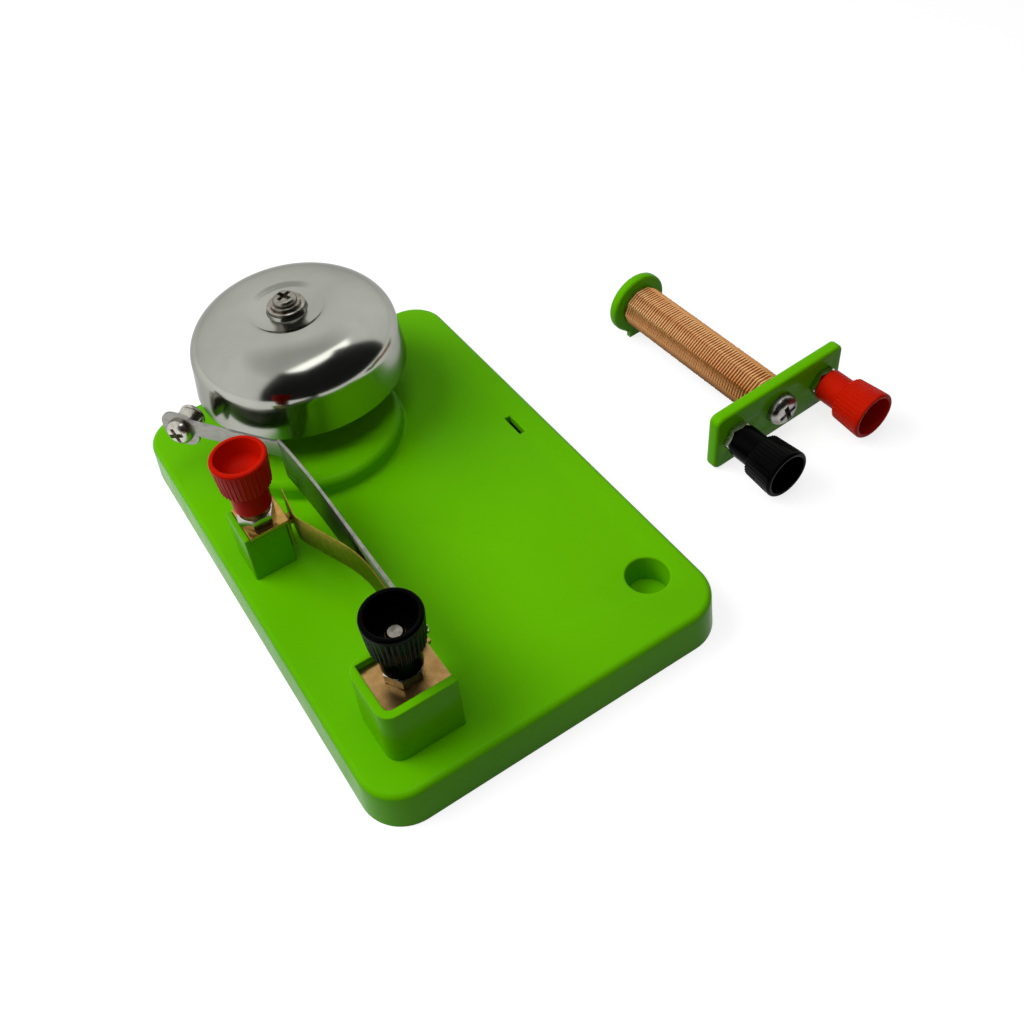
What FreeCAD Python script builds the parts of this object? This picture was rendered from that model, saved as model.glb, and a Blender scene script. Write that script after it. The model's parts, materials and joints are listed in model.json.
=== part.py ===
import FreeCAD
import Part
import Sketcher
import math
import os
import re

# Electric bell demonstrator, in millimetres and degrees.
# Origin: centre of the base's underside. +Z up, +Y towards the gong, +X towards the coil.

SIZES = {
    # base tray
    "base_width": 90.0,
    "base_length": 137.0,
    "base_height": 10.8,
    "base_corner": 9.75,
    "base_draft": 2.6,
    "base_edge": 1.5,
    "base_wall": 2.2,
    "base_roof": 2.4,
    "rib_thick": 1.8,
    # blind socket in the front right corner of the tray
    "socket_x": 34.2,
    "socket_y": -52.7,
    "socket_radius": 5.12,
    "socket_depth": 8.0,
    "socket_wall": 1.6,
    # two slots that take the coil's lips
    "slot_width": 1.6,
    "slot_length": 7.2,
    "coil_slot_x": 37.3,
    "pole_slot_x": -15.3,
    "slot_y": 7.1,
    # raised round platform and the pillar under the gong
    "platform_x": -7.0,
    "platform_y": 37.2,
    "platform_radius": 23.3,
    "platform_foot_radius": 25.0,
    "platform_height": 5.3,
    "pillar_radius": 4.6,
    "pillar_foot_radius": 6.5,
    # gong
    "gong_x": -2.45,
    "gong_y": 48.2,
    "gong_rim_height": 25.0,
    "gong_radius": 28.2,
    "gong_skirt_radius": 27.3,
    "gong_skirt_height": 9.7,
    "gong_flat_radius": 11.6,
    "gong_height": 20.2,
    "gong_wall": 1.0,
    "gong_bore_radius": 2.2,
    "washer_radius": 5.0,
    "washer_thick": 1.0,
    "gong_screw_radius": 2.0,
    "gong_screw_head_radius": 4.0,
    "gong_screw_head_height": 2.5,
    "gong_screw_length": 16.0,
    # bracket blocks and brackets
    "block_height": 12.9,
    "rim_width": 2.0,
    "rim_height": 1.8,
    "rim_corner": 3.6,
    "red_rim_width": 1.5,
    "black_rim_rear": 1.4,
    "bracket_thick": 1.0,
    "black_plate_left": -35.4,
    "black_plate_right": -19.9,
    "black_plate_front": -59.0,
    "black_plate_rear": -45.6,
    "red_plate_left": -38.9,
    "red_plate_right": -28.8,
    "red_plate_front": 0.6,
    "red_plate_rear": 11.9,
    "contact_tab_drop": 9.0,
    "notch_left": -22.4,
    "notch_front": -47.0,
    "strap_front": -48.2,
    "lug_front": -46.2,
    "lug_rear": -40.4,
    # binding posts
    "black_post_x": -27.3,
    "black_post_y": -51.5,
    "red_post_x": -34.6,
    "red_post_y": 6.2,
    "stud_radius": 2.0,
    "stud_tip_radius": 1.55,
    "stud_tip_height": 0.5,
    "stud_head_radius": 3.4,
    "stud_head_height": 1.6,
    "nut_flat": 8.0,
    "nut_turn": 30.0,
    "post_nut_thick": 2.8,
    "coil_nut_thick": 1.8,
    "black_cap_gap": 0.7,
    "red_cap_gap": 2.0,
    "red_stud_drop": 2.0,
    "coil_cap_gap": 0.2,
    "cap_length": 15.8,
    "cap_skirt_radius": 4.58,
    "cap_skirt_length": 6.2,
    "cap_shoulder": 0.8,
    "cap_foot_radius": 6.1,
    "cap_top_radius": 6.72,
    "cap_wall": 1.2,
    "cap_cavity_depth": 6.2,
    "cap_floor_radius": 4.7,
    "cap_floor_thick": 0.8,
    "bush_radius": 3.2,
    "bush_clearance": 0.05,
    # armature: spring steel strip, arm and hammer
    "strip_x": -20.5,
    "strip_start_y": -46.7,
    "strip_bow_y": 7.2,
    "strip_bow_radius": 330.0,
    "strip_end_x": -21.4,
    "strip_end_y": 19.4,
    "strip_thick": 0.8,
    "strip_height": 12.7,
    "strip_top": 31.7,
    "strip_clearance": 0.1,
    "arm_angle": 125.2,
    "arm_length": 34.9,
    "arm_height": 5.0,
    "arm_drop": 1.0,
    "tab_length": 10.6,
    "tab_height": 10.4,
    "tab_corner": 4.4,
    "tab_drop": 1.3,
    "hammer_along": 29.3,
    "hammer_screw_head_radius": 3.55,
    "hammer_screw_head_height": 2.5,
    "hammer_screw_radius": 1.5,
    "striker_neck_radius": 3.2,
    "striker_neck_length": 4.0,
    "striker_radius": 3.5,
    "striker_length": 6.2,
    "striker_crown": 1.4,
    # contact spring and its rivet
    "spring_thick": 0.3,
    "spring_height": 8.0,
    "spring_top": 28.6,
    "spring_leave_y": -21.7,
    "spring_leave_radius": 33.0,
    "spring_bend_x": -28.35,
    "spring_bend_y": -2.9,
    "spring_bend_radius": 6.0,
    "spring_end_x": -27.0,
    "spring_end_y": 7.0,
    "contact_y": 2.6,
    "contact_z": 23.0,
    "contact_radius": 1.4,
    "contact_gap": 0.05,
    "clamp_rivet_front": -45.1,
    "clamp_rivet_rear": -42.1,
    "clamp_rivet_radius": 1.0,
    "clamp_rivet_head_radius": 1.4,
    "clamp_rivet_head_height": 0.8,
    # electromagnet, lying on the bench beside the base
    "coil_x": 96.4,
    "coil_y": -28.45,
    "coil_yaw": 3.4,
    "flange_width": 45.0,
    "flange_height": 17.9,
    "flange_thick": 3.4,
    "flange_corner": 2.2,
    "coil_length": 57.6,
    "disc_radius": 9.25,
    "disc_thick": 2.8,
    "lip_width": 7.0,
    "lip_drop": 1.6,
    "lip_thick": 1.4,
    "tube_radius": 4.8,
    "core_radius": 3.5,
    "core_clearance": 0.1,
    "core_head_radius": 4.5,
    "core_head_height": 3.0,
    "pole_length": 1.5,
    "winding_radius": 6.42,
    "winding_clearance": 0.05,
    "coil_post_spread": 15.6,
    "lead_radius": 0.3,
    "bore_clearance": 0.15,
}

doc = FreeCAD.newDocument("ElectricBell")
sheet = doc.addObject("Spreadsheet::Sheet", "Sizes")
for row, (alias, value) in enumerate(SIZES.items(), start=1):
    sheet.set(f"A{row}", alias)
    sheet.set(f"B{row}", str(value))
    sheet.setAlias(f"B{row}", alias)
doc.recompute()

nodes = []


def cell(text):
    """Turns the size names in an expression into the sheet's cells."""
    return re.sub(r"[a-z]+(?:_[a-z]+)+", lambda found: f"Sizes.{found.group(0)}", text)


def size(name):
    return getattr(sheet, name)


def place(x="0", y="0", z="0", yaw="0", pitch="0", roll="0"):
    """A placement expression: a point, then yaw about Z, pitch about Y and roll about X."""
    return f"placement(vector({x}; {y}; {z}); rotation({yaw}; {pitch}; {roll}))"


def add(kind, name, where=None, **sizes):
    piece = doc.addObject(kind, name)
    for prop, text in sizes.items():
        piece.setExpression(prop, cell(text))
    if where:
        piece.setExpression("Placement", cell(where))
    return piece


def cylinder(name, radius, height, where=None):
    return add("Part::Cylinder", name, where, Radius=radius, Height=height)


def cone(name, radius, end_radius, height, where=None):
    return add("Part::Cone", name, where, Radius1=radius, Radius2=end_radius, Height=height)


def box(name, length, width, height, where=None):
    return add("Part::Box", name, where, Length=length, Width=width, Height=height)


def prism(name, flat, height, where=None):
    piece = add("Part::Prism", name, where, Circumradius=f"{flat} / 2 / cos(30)", Height=height)
    piece.Polygon = 6
    return piece


def cut(name, base, *tools):
    piece = doc.addObject("Part::Cut", name)
    piece.Base = base
    piece.Tool = tools[0] if len(tools) == 1 else fuse(f"{name}_tools", *tools)
    return piece


def fuse(name, *parts):
    piece = doc.addObject("Part::MultiFuse", name)
    piece.Shapes = list(parts)
    return piece


def finish(piece, label, where=None):
    """Names a finished sub-part and sets where it sits."""
    piece.Label = label
    if where:
        piece.setExpression("Placement", cell(where))
    nodes.append(piece)
    return piece


def origin_plane(body, role):
    return next(item for item in body.Origin.OriginFeatures if item.Role == role)


def rounded_sketch(body, name, width, length, corner, x="0", y="0", z="0", plane="XY_Plane"):
    """A rounded rectangle about (x, y) on one of the body's own origin planes."""
    sketch = body.newObject("Sketcher::SketchObject", name)
    sketch.AttachmentSupport = [(origin_plane(body, plane), "")]
    sketch.MapMode = "FlatFace"
    half_width, half_length, round_off = 20.0, 10.0, 2.0
    spots = [
        (half_width - round_off, -half_length + round_off, -90),
        (half_width - round_off, half_length - round_off, 0),
        (-half_width + round_off, half_length - round_off, 90),
        (-half_width + round_off, -half_length + round_off, 180),
    ]
    arcs = []
    for spot_x, spot_y, start in spots:
        centre = FreeCAD.Vector(spot_x, spot_y, 0)
        circle = Part.Circle(centre, FreeCAD.Vector(0, 0, 1), round_off)
        arcs.append(Part.ArcOfCircle(circle, math.radians(start), math.radians(start + 90)))
    for index, arc in enumerate(arcs):
        following = arcs[(index + 1) % 4]
        sketch.addGeometry(arc, False)
        sketch.addGeometry(Part.LineSegment(arc.EndPoint, following.StartPoint), False)
    rules = []
    for index in range(4):
        arc, line, following = 2 * index, 2 * index + 1, (2 * index + 2) % 8
        rules.append(Sketcher.Constraint("Tangent", arc, 2, line, 1))
        rules.append(Sketcher.Constraint("Tangent", line, 2, following, 1))
        if index:
            rules.append(Sketcher.Constraint("Equal", 0, arc))
    rules.append(Sketcher.Constraint("Vertical", 1))
    rules.append(Sketcher.Constraint("Horizontal", 3))
    rules.append(Sketcher.Constraint("Vertical", 5))
    rules.append(Sketcher.Constraint("Horizontal", 7))
    rules.append(Sketcher.Constraint("Symmetric", 0, 3, 4, 3, -1, 1))
    sketch.addConstraint(rules)
    named = (
        ("Corner", Sketcher.Constraint("Radius", 0, round_off), corner),
        ("Width", Sketcher.Constraint("DistanceX", 5, 1, 1, 1, 2 * half_width), width),
        ("Length", Sketcher.Constraint("DistanceY", 7, 1, 3, 1, 2 * half_length), length),
    )
    for label, rule, text in named:
        number = sketch.addConstraint(rule)
        sketch.renameConstraint(number, label)
        sketch.setExpression(f"Constraints.{label}", cell(text))
    for axis, text in (("x", x), ("y", y), ("z", z)):
        sketch.setExpression(f"AttachmentOffset.Base.{axis}", cell(text))
    return sketch


def pad(body, name, sketch, length, **settings):
    feature = body.newObject("PartDesign::Pad", name)
    feature.Profile = sketch
    feature.setExpression("Length", cell(length))
    for prop, value in settings.items():
        setattr(feature, prop, value)
    return feature


def pocket(body, name, sketch, length):
    """Cuts upwards from a sketch below the solid."""
    feature = body.newObject("PartDesign::Pocket", name)
    feature.Profile = sketch
    feature.Reversed = True
    feature.setExpression("Length", cell(length))
    return feature


def solid_in(body, kind, name, where, **sizes):
    feature = body.newObject(f"PartDesign::{kind}", name)
    for prop, text in sizes.items():
        feature.setExpression(prop, cell(text))
    feature.setExpression("Placement", cell(where))
    return feature


def round_edges(body, name, feature, wanted, radius):
    """Fillets the edges of a feature that the test picks."""
    doc.recompute()
    names = [f"Edge{i}" for i, edge in enumerate(feature.Shape.Edges, start=1) if wanted(edge)]
    fillet = body.newObject("PartDesign::Fillet", name)
    fillet.Base = (feature, names)
    fillet.setExpression("Radius", cell(radius))
    return fillet


def upright_at(edge, x, y):
    return all(abs(v.X - x) < 0.01 and abs(v.Y - y) < 0.01 for v in edge.Vertexes)


def level_at(edge, z):
    return all(abs(v.Z - z) < 0.01 for v in edge.Vertexes)


def bent_path(points, radii):
    """Straight runs in the plan joined by tangent arcs of the given radii."""
    corners = [FreeCAD.Vector(x, y, 0) for x, y in points]
    edges = []
    start = corners[0]
    for index, radius in enumerate(radii, start=1):
        corner = corners[index]
        before = (corner - corners[index - 1]).normalize()
        after = (corners[index + 1] - corner).normalize()
        turn = before.getAngle(after)
        reach = radius * math.tan(turn / 2)
        arc_start = corner - before * reach
        arc_end = corner + after * reach
        inward = (after - before).normalize()
        middle = corner + inward * (radius / math.cos(turn / 2) - radius)
        edges.append(Part.LineSegment(start, arc_start).toShape())
        edges.append(Part.Arc(arc_start, middle, arc_end).toShape())
        start = arc_end
    edges.append(Part.LineSegment(start, corners[-1]).toShape())
    return Part.Wire(edges)


def ribbon(name, points, radii, thick, height, top):
    """A flat strip standing on edge along a bent path."""
    path = bent_path(points, radii)
    half = thick / 2
    start = path.Edges[0].Vertexes[0].Point
    ahead = path.Edges[0].tangentAt(path.Edges[0].FirstParameter)
    side = FreeCAD.Vector(-ahead.y, ahead.x, 0) * half
    rise = FreeCAD.Vector(0, 0, height)
    outline = Part.makePolygon(
        [start + side, start - side, start - side + rise, start + side + rise, start + side]
    )
    piece = doc.addObject("Part::Feature", name)
    piece.Shape = path.makePipeShell([outline], True, False)
    piece.Placement = FreeCAD.Placement(FreeCAD.Vector(0, 0, top - height), FreeCAD.Rotation())
    return piece


# ---- base tray. Its blocks, platform and pillar are one moulding with it on the real object;
# they are solids of their own here, so that each one's collision follows its shape


def base_plate():
    body = doc.addObject("PartDesign::Body", "base_plate")
    spread = "2 * base_height * tan(base_draft)"
    footprint = rounded_sketch(
        body, "tray_outline",
        f"base_width + {spread}", f"base_length + {spread}",
        "base_corner + base_height * tan(base_draft)",
    )
    tray = pad(body, "tray", footprint, "base_height")
    tray.setExpression("TaperAngle", cell("-base_draft"))
    top = size("base_height")
    round_edges(body, "tray_edge", tray, lambda e: level_at(e, top), "base_edge")
    hollow = rounded_sketch(
        body, "hollow_outline", "base_width - 2 * base_wall", "base_length - 2 * base_wall",
        "base_corner - base_wall",
    )
    pocket(body, "hollow", hollow, "base_height - base_roof")
    solid_in(
        body, "AdditiveBox", "tray_rib",
        place("-rib_thick / 2", "base_wall / 2 - base_length / 2", "0"),
        Length="rib_thick", Width="base_length - base_wall", Height="base_height - base_roof / 2",
    )
    solid_in(
        body, "AdditiveCylinder", "socket_cup",
        place("socket_x", "socket_y", "base_height - socket_depth - socket_wall"),
        Radius="socket_radius + socket_wall", Height="socket_depth + socket_wall - base_roof / 2",
    )
    solid_in(
        body, "SubtractiveCylinder", "socket", place("socket_x", "socket_y", "base_height - socket_depth"),
        Radius="socket_radius", Height="socket_depth + 1",
    )
    for name in ("coil_slot", "pole_slot"):
        solid_in(
            body, "SubtractiveBox", name,
            place(f"{name}_x - slot_width / 2", "slot_y - slot_length / 2", "base_height - 2 * base_roof"),
            Length="slot_width", Width="slot_length", Height="3 * base_roof",
        )
    for colour in ("black", "red"):
        solid_in(
            body, "SubtractiveCylinder", f"{colour}_roof_hole",
            place(f"{colour}_post_x", f"{colour}_post_y", "base_height - 2 * base_roof"),
            Radius="stud_radius + bore_clearance", Height="3 * base_roof",
        )
    return finish(body, "base_plate")


def terminal_block(colour):
    body = doc.addObject("PartDesign::Body", f"{colour}_block")
    left, right = f"{colour}_plate_left", f"{colour}_plate_right"
    front, rear = f"{colour}_plate_front", f"{colour}_plate_rear"
    black = colour == "black"
    rim, rim_front, rim_rear = (
        ("rim_width", "rim_width", "black_rim_rear") if black else ("red_rim_width", "0", "0")
    )
    tab = "0" if black else "bracket_thick"
    top = "block_height + bracket_thick"
    block = solid_in(
        body, "AdditiveBox", f"{colour}_block_blank",
        place(f"{left} - {rim}", f"{front} - {rim_front}", "base_height"),
        Length=f"{right} - {left} + {rim} - {tab}",
        Width=f"{rear} - {front} + {rim_front} + {rim_rear}",
        Height=f"{top} + rim_height" if black else top,
    )
    if black:
        corner_x = size(left) - size("rim_width")
        corner_ys = (size(front) - size("rim_width"), size(rear) + size("black_rim_rear"))
        round_edges(
            body, "black_block_corners", block,
            lambda e: any(upright_at(e, corner_x, y) for y in corner_ys), "rim_corner",
        )
    seat = solid_in(
        body, "SubtractiveBox", f"{colour}_seat",
        place(left, front, "base_height + block_height"),
        Length=f"{right} - {left}", Width=f"{rear} - {front}",
        Height="bracket_thick + rim_height",
    )
    if black:
        seat_x, seat_y = size(left), size(front)
        round_edges(
            body, "black_seat_corner", seat,
            lambda e: upright_at(e, seat_x, seat_y), "rim_corner - rim_width",
        )
        # the steel strip starts in this notch
        solid_in(
            body, "SubtractiveBox", "strip_notch", place("notch_left", "notch_front", "base_height"),
            Length=f"{right} - notch_left", Width=f"{rear} + {rim_rear} - notch_front",
            Height=f"{top} + rim_height",
        )
    solid_in(
        body, "SubtractiveCylinder", f"{colour}_stud_hole",
        place(f"{colour}_post_x", f"{colour}_post_y", "0"),
        Radius="stud_radius + bore_clearance", Height="base_height + block_height + 1",
    )
    return finish(body, f"{colour}_block")


def gong_platform():
    body = doc.addObject("PartDesign::Body", "gong_platform")
    solid_in(
        body, "AdditiveCone", "platform", place("platform_x", "platform_y", "base_height"),
        Radius1="platform_foot_radius", Radius2="platform_radius", Height="platform_height",
    )
    solid_in(
        body, "AdditiveCone", "pillar", place("gong_x", "gong_y", "base_height"),
        Radius1="pillar_foot_radius", Radius2="pillar_radius",
        Height="gong_rim_height + gong_height - gong_wall - base_height",
    )
    solid_in(
        body, "SubtractiveCylinder", "gong_screw_hole",
        place("gong_x", "gong_y", "gong_rim_height + gong_height - gong_screw_length"),
        Radius="gong_screw_radius + bore_clearance", Height="gong_screw_length",
    )
    return finish(body, "gong_platform")


# ---- gong with its screw and washer


def gong():
    rim, skirt = size("gong_radius"), size("gong_skirt_radius")
    skirt_height, flat = size("gong_skirt_height"), size("gong_flat_radius")
    height, wall, bore = size("gong_height"), size("gong_wall"), size("gong_bore_radius")

    def dome(inset):
        """A quarter of an ellipse from the top of the skirt to the flat."""
        centre = FreeCAD.Vector(flat, 0, skirt_height)
        rise = height - skirt_height - inset
        run = skirt - flat - inset
        points = []
        for step in range(4):
            angle = math.radians(30 * step)
            points.append(centre + FreeCAD.Vector(run * math.cos(angle), 0, rise * math.sin(angle)))
        curve = Part.BSplineCurve()
        curve.interpolate(
            points,
            InitialTangent=FreeCAD.Vector(0, 0, rise),
            FinalTangent=FreeCAD.Vector(-run, 0, 0),
        )
        return points[0], curve.toShape(), points[-1]

    outer_low, outer_dome, outer_high = dome(0)
    inner_low, inner_dome, inner_high = dome(wall)
    outer_rim = FreeCAD.Vector(rim, 0, 0)
    inner_rim = FreeCAD.Vector(rim - wall, 0, 0)
    outer_bore = FreeCAD.Vector(bore, 0, height)
    inner_bore = FreeCAD.Vector(bore, 0, height - wall)
    straight = [
        (inner_rim, outer_rim), (outer_rim, outer_low), (outer_high, outer_bore),
        (outer_bore, inner_bore), (inner_bore, inner_high), (inner_low, inner_rim),
    ]
    edges = [Part.LineSegment(a, b).toShape() for a, b in straight] + [outer_dome, inner_dome]
    face = Part.Face(Part.Wire(Part.__sortEdges__(edges)))
    piece = doc.addObject("Part::Feature", "gong")
    piece.Shape = face.revolve(FreeCAD.Vector(0, 0, 0), FreeCAD.Vector(0, 0, 1), 360)
    return finish(piece, "gong", place("gong_x", "gong_y", "gong_rim_height"))


def gong_fixings():
    top = "gong_rim_height + gong_height"
    disc = cylinder("washer_disc", "washer_radius", "washer_thick")
    bore = cylinder("washer_bore", "gong_bore_radius", "washer_thick")
    finish(cut("gong_washer", disc, bore), "gong_washer", place("gong_x", "gong_y", top))
    head = cylinder(
        "gong_screw_head", "gong_screw_head_radius", "gong_screw_head_height",
        place(z="gong_screw_length"),
    )
    shank = cylinder("gong_screw_shank", "gong_screw_radius", "gong_screw_length")
    finish(
        fuse("gong_screw", shank, head), "gong_screw",
        place("gong_x", "gong_y", f"{top} + washer_thick - gong_screw_length"),
    )


# ---- brackets


def black_bracket():
    seat = "(base_height + block_height)"
    plate = box(
        "black_plate", "black_plate_right - black_plate_left",
        "black_plate_rear - black_plate_front", "bracket_thick",
        place("black_plate_left", "black_plate_front", seat),
    )
    corner = box("black_corner_block", "rim_corner", "rim_corner", "3 * bracket_thick",
                 place("black_plate_left", "black_plate_front", f"{seat} - bracket_thick"))
    keep = cylinder(
        "black_corner_round", "rim_corner", "3 * bracket_thick",
        place("black_plate_left + rim_corner", "black_plate_front + rim_corner", f"{seat} - bracket_thick"),
    )
    notch = box(
        "black_plate_notch", "black_plate_right - notch_left", "black_plate_rear - notch_front",
        "3 * bracket_thick", place("notch_left", "notch_front", f"{seat} - bracket_thick"),
    )
    trimmed = cut("black_plate_trimmed", plate, cut("black_corner_waste", corner, keep), notch)
    lug_face = "strip_x + strip_thick / 2 + strip_clearance"
    lug = box(
        "clamp_lug", "bracket_thick", "lug_rear - lug_front", f"strip_top - {seat}",
        place(lug_face, "lug_front", seat),
    )
    strap = box(
        "lug_foot", f"{lug_face} + bracket_thick - black_plate_right + bracket_thick",
        "notch_front - strap_front", "bracket_thick",
        place("black_plate_right - bracket_thick", "strap_front", seat),
    )
    rail = box(
        "lug_rail", "bracket_thick", "lug_rear - strap_front", "bracket_thick",
        place(lug_face, "strap_front", seat),
    )
    hole = cylinder(
        "black_plate_hole", "stud_radius + bore_clearance", "3 * bracket_thick",
        place("black_post_x", "black_post_y", f"{seat} - bracket_thick"),
    )
    rivet_holes = [
        cylinder(
            f"lug_hole_{end}", "clamp_rivet_radius + 2 * bore_clearance", "4 * bracket_thick",
            place("strip_x - bracket_thick", f"clamp_rivet_{end}", "strip_top - strip_height / 2",
                  pitch="90"),
        )
        for end in ("front", "rear")
    ]
    whole = fuse("black_bracket_blank", trimmed, strap, rail, lug)
    finish(cut("black_bracket", whole, hole, *rivet_holes), "black_bracket")


def red_bracket():
    seat = "(base_height + block_height)"
    plate = box(
        "red_plate", "red_plate_right - red_plate_left",
        "red_plate_rear - red_plate_front", "bracket_thick",
        place("red_plate_left", "red_plate_front", seat),
    )
    tab = box(
        "contact_tab", "bracket_thick", "red_plate_rear - red_plate_front", "contact_tab_drop",
        place("red_plate_right - bracket_thick", "red_plate_front",
              f"{seat} + bracket_thick - contact_tab_drop"),
    )
    hole = cylinder(
        "red_plate_hole", "stud_radius + bore_clearance", "3 * bracket_thick",
        place("red_post_x", "red_post_y", f"{seat} - bracket_thick"),
    )
    finish(cut("red_bracket", fuse("red_bracket_blank", plate, tab), hole), "red_bracket")


# ---- binding posts: stud, hexagon nut, threaded bush and knurled cap


def binding_post(name, seat, grip, nut_thick, gap, stud_drop="0"):
    """seat places the post's foot, +Z outwards; grip is the length that the stud clamps."""
    lift = f"({nut_thick} + {gap})"
    reach = f"({lift} + cap_length - cap_cavity_depth - {stud_drop})"
    shank = cylinder(f"{name}_shank", "stud_radius", f"{grip} + {reach}", place(z=f"-({grip})"))
    tip = cone(
        f"{name}_tip", "stud_radius", "stud_tip_radius", "stud_tip_height", place(z=reach),
    )
    head = cylinder(
        f"{name}_head", "stud_head_radius", "stud_head_height",
        place(z=f"-({grip}) - stud_head_height"),
    )
    finish(fuse(f"{name}_stud", shank, tip, head), f"{name}_stud", seat)

    blank = prism(f"{name}_nut_blank", "nut_flat", nut_thick, place(yaw="nut_turn"))
    bore = cylinder(f"{name}_nut_bore", "stud_radius + bush_clearance", nut_thick)
    finish(cut(f"{name}_nut", blank, bore), f"{name}_nut", seat)

    bush_length = "(cap_length - cap_cavity_depth - cap_floor_thick)"
    bush = cylinder(f"{name}_bush_blank", "bush_radius", bush_length, place(z=lift))
    thread = cylinder(f"{name}_bush_thread", "stud_radius + bush_clearance", bush_length, place(z=lift))
    finish(cut(f"{name}_bush", bush, thread), f"{name}_bush", seat)

    skirt = cylinder(f"{name}_cap_skirt", "cap_skirt_radius", "cap_skirt_length", place(z=lift))
    shoulder = cone(
        f"{name}_cap_shoulder", "cap_skirt_radius", "cap_foot_radius", "cap_shoulder",
        place(z=f"{lift} + cap_skirt_length"),
    )
    grip_length = "cap_length - cap_skirt_length - cap_shoulder"
    knurl = cone(
        f"{name}_cap_knurl", "cap_foot_radius", "cap_top_radius", grip_length,
        place(z=f"{lift} + cap_skirt_length + cap_shoulder"),
    )
    cavity = cone(
        f"{name}_cap_cavity", "cap_floor_radius", "cap_top_radius - cap_wall", "cap_cavity_depth",
        place(z=f"{lift} + cap_length - cap_cavity_depth"),
    )
    bush_bore = cylinder(
        f"{name}_cap_bore", "bush_radius + bush_clearance", f"{bush_length} + bush_clearance",
        place(z=lift),
    )
    stud_bore = cylinder(
        f"{name}_cap_stud_bore", "stud_radius + bore_clearance", "cap_length", place(z=lift),
    )
    whole = fuse(f"{name}_cap_blank", skirt, shoulder, knurl)
    finish(cut(f"{name}_cap", whole, cavity, bush_bore, stud_bore), f"{name}_cap", seat)


# ---- armature: strip, arm, hammer and contact spring


def armature():
    strip = ribbon(
        "strip_ribbon",
        [
            (size("strip_x"), size("strip_start_y")),
            (size("strip_x"), size("strip_bow_y")),
            (size("strip_end_x"), size("strip_end_y")),
        ],
        [size("strip_bow_radius")],
        size("strip_thick"), size("strip_height"), size("strip_top"),
    )
    arm_place = place(
        "strip_end_x", "strip_end_y", "strip_top - arm_drop - arm_height / 2", yaw="arm_angle",
    )
    bend = cylinder(
        "arm_bend", "strip_thick / 2", "arm_height",
        place("strip_end_x", "strip_end_y", "strip_top - arm_drop - arm_height"),
    )
    arm = box(
        "arm_bar", "arm_length - tab_length / 2", "strip_thick", "arm_height",
        f"{arm_place} * {place(y='-strip_thick / 2', z='-arm_height / 2')}",
    )
    tab_body = doc.addObject("PartDesign::Body", "hammer_tab")
    outline = rounded_sketch(
        tab_body, "tab_outline", "tab_length", "tab_height", "tab_corner", plane="XZ_Plane",
    )
    pad(tab_body, "tab_pad", outline, "strip_thick", Midplane=True)
    tab_body.setExpression(
        "Placement", cell(f"{arm_place} * {place(x='arm_length - tab_length / 2', z='-tab_drop')}"),
    )
    screw_hole = cylinder(
        "hammer_hole", "hammer_screw_radius + bush_clearance", "4 * strip_thick",
        f"{arm_place} * {place('hammer_along', '2 * strip_thick', '-tab_drop', roll='90')}",
    )
    rivet_holes = [
        cylinder(
            f"strip_hole_{end}", "clamp_rivet_radius + bush_clearance", "4 * strip_thick",
            place("strip_x - 2 * strip_thick", f"clamp_rivet_{end}", "strip_top - strip_height / 2",
                  pitch="90"),
        )
        for end in ("front", "rear")
    ]
    whole = fuse("armature_blank", strip, bend, arm, tab_body)
    finish(cut("armature_strip", whole, screw_hole, *rivet_holes), "armature_strip")

    hammer = f"{arm_place} * {place(x='hammer_along', z='-tab_drop', roll='90')}"
    head = cylinder(
        "hammer_screw_head", "hammer_screw_head_radius", "hammer_screw_head_height",
        place(z="-strip_thick / 2 - hammer_screw_head_height"),
    )
    shank = cylinder(
        "hammer_screw_shank", "hammer_screw_radius", "strip_thick + striker_neck_length",
        place(z="-strip_thick / 2"),
    )
    finish(fuse("hammer_screw", head, shank), "hammer_screw", hammer)

    neck = cylinder(
        "striker_neck", "striker_neck_radius", "striker_neck_length", place(z="strip_thick / 2"),
    )
    knob_length = "striker_length - striker_neck_length - striker_crown"
    knob = cylinder(
        "striker_knob", "striker_radius", knob_length,
        place(z="strip_thick / 2 + striker_neck_length"),
    )
    crown = cone(
        "striker_crown_cone", "striker_radius", "striker_radius / 2", "striker_crown",
        place(z="strip_thick / 2 + striker_length - striker_crown"),
    )
    bore = cylinder(
        "striker_bore", "hammer_screw_radius + bush_clearance",
        "striker_neck_length + bush_clearance", place(z="strip_thick / 2"),
    )
    finish(cut("striker", fuse("striker_blank", neck, knob, crown), bore), "striker", hammer)


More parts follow.
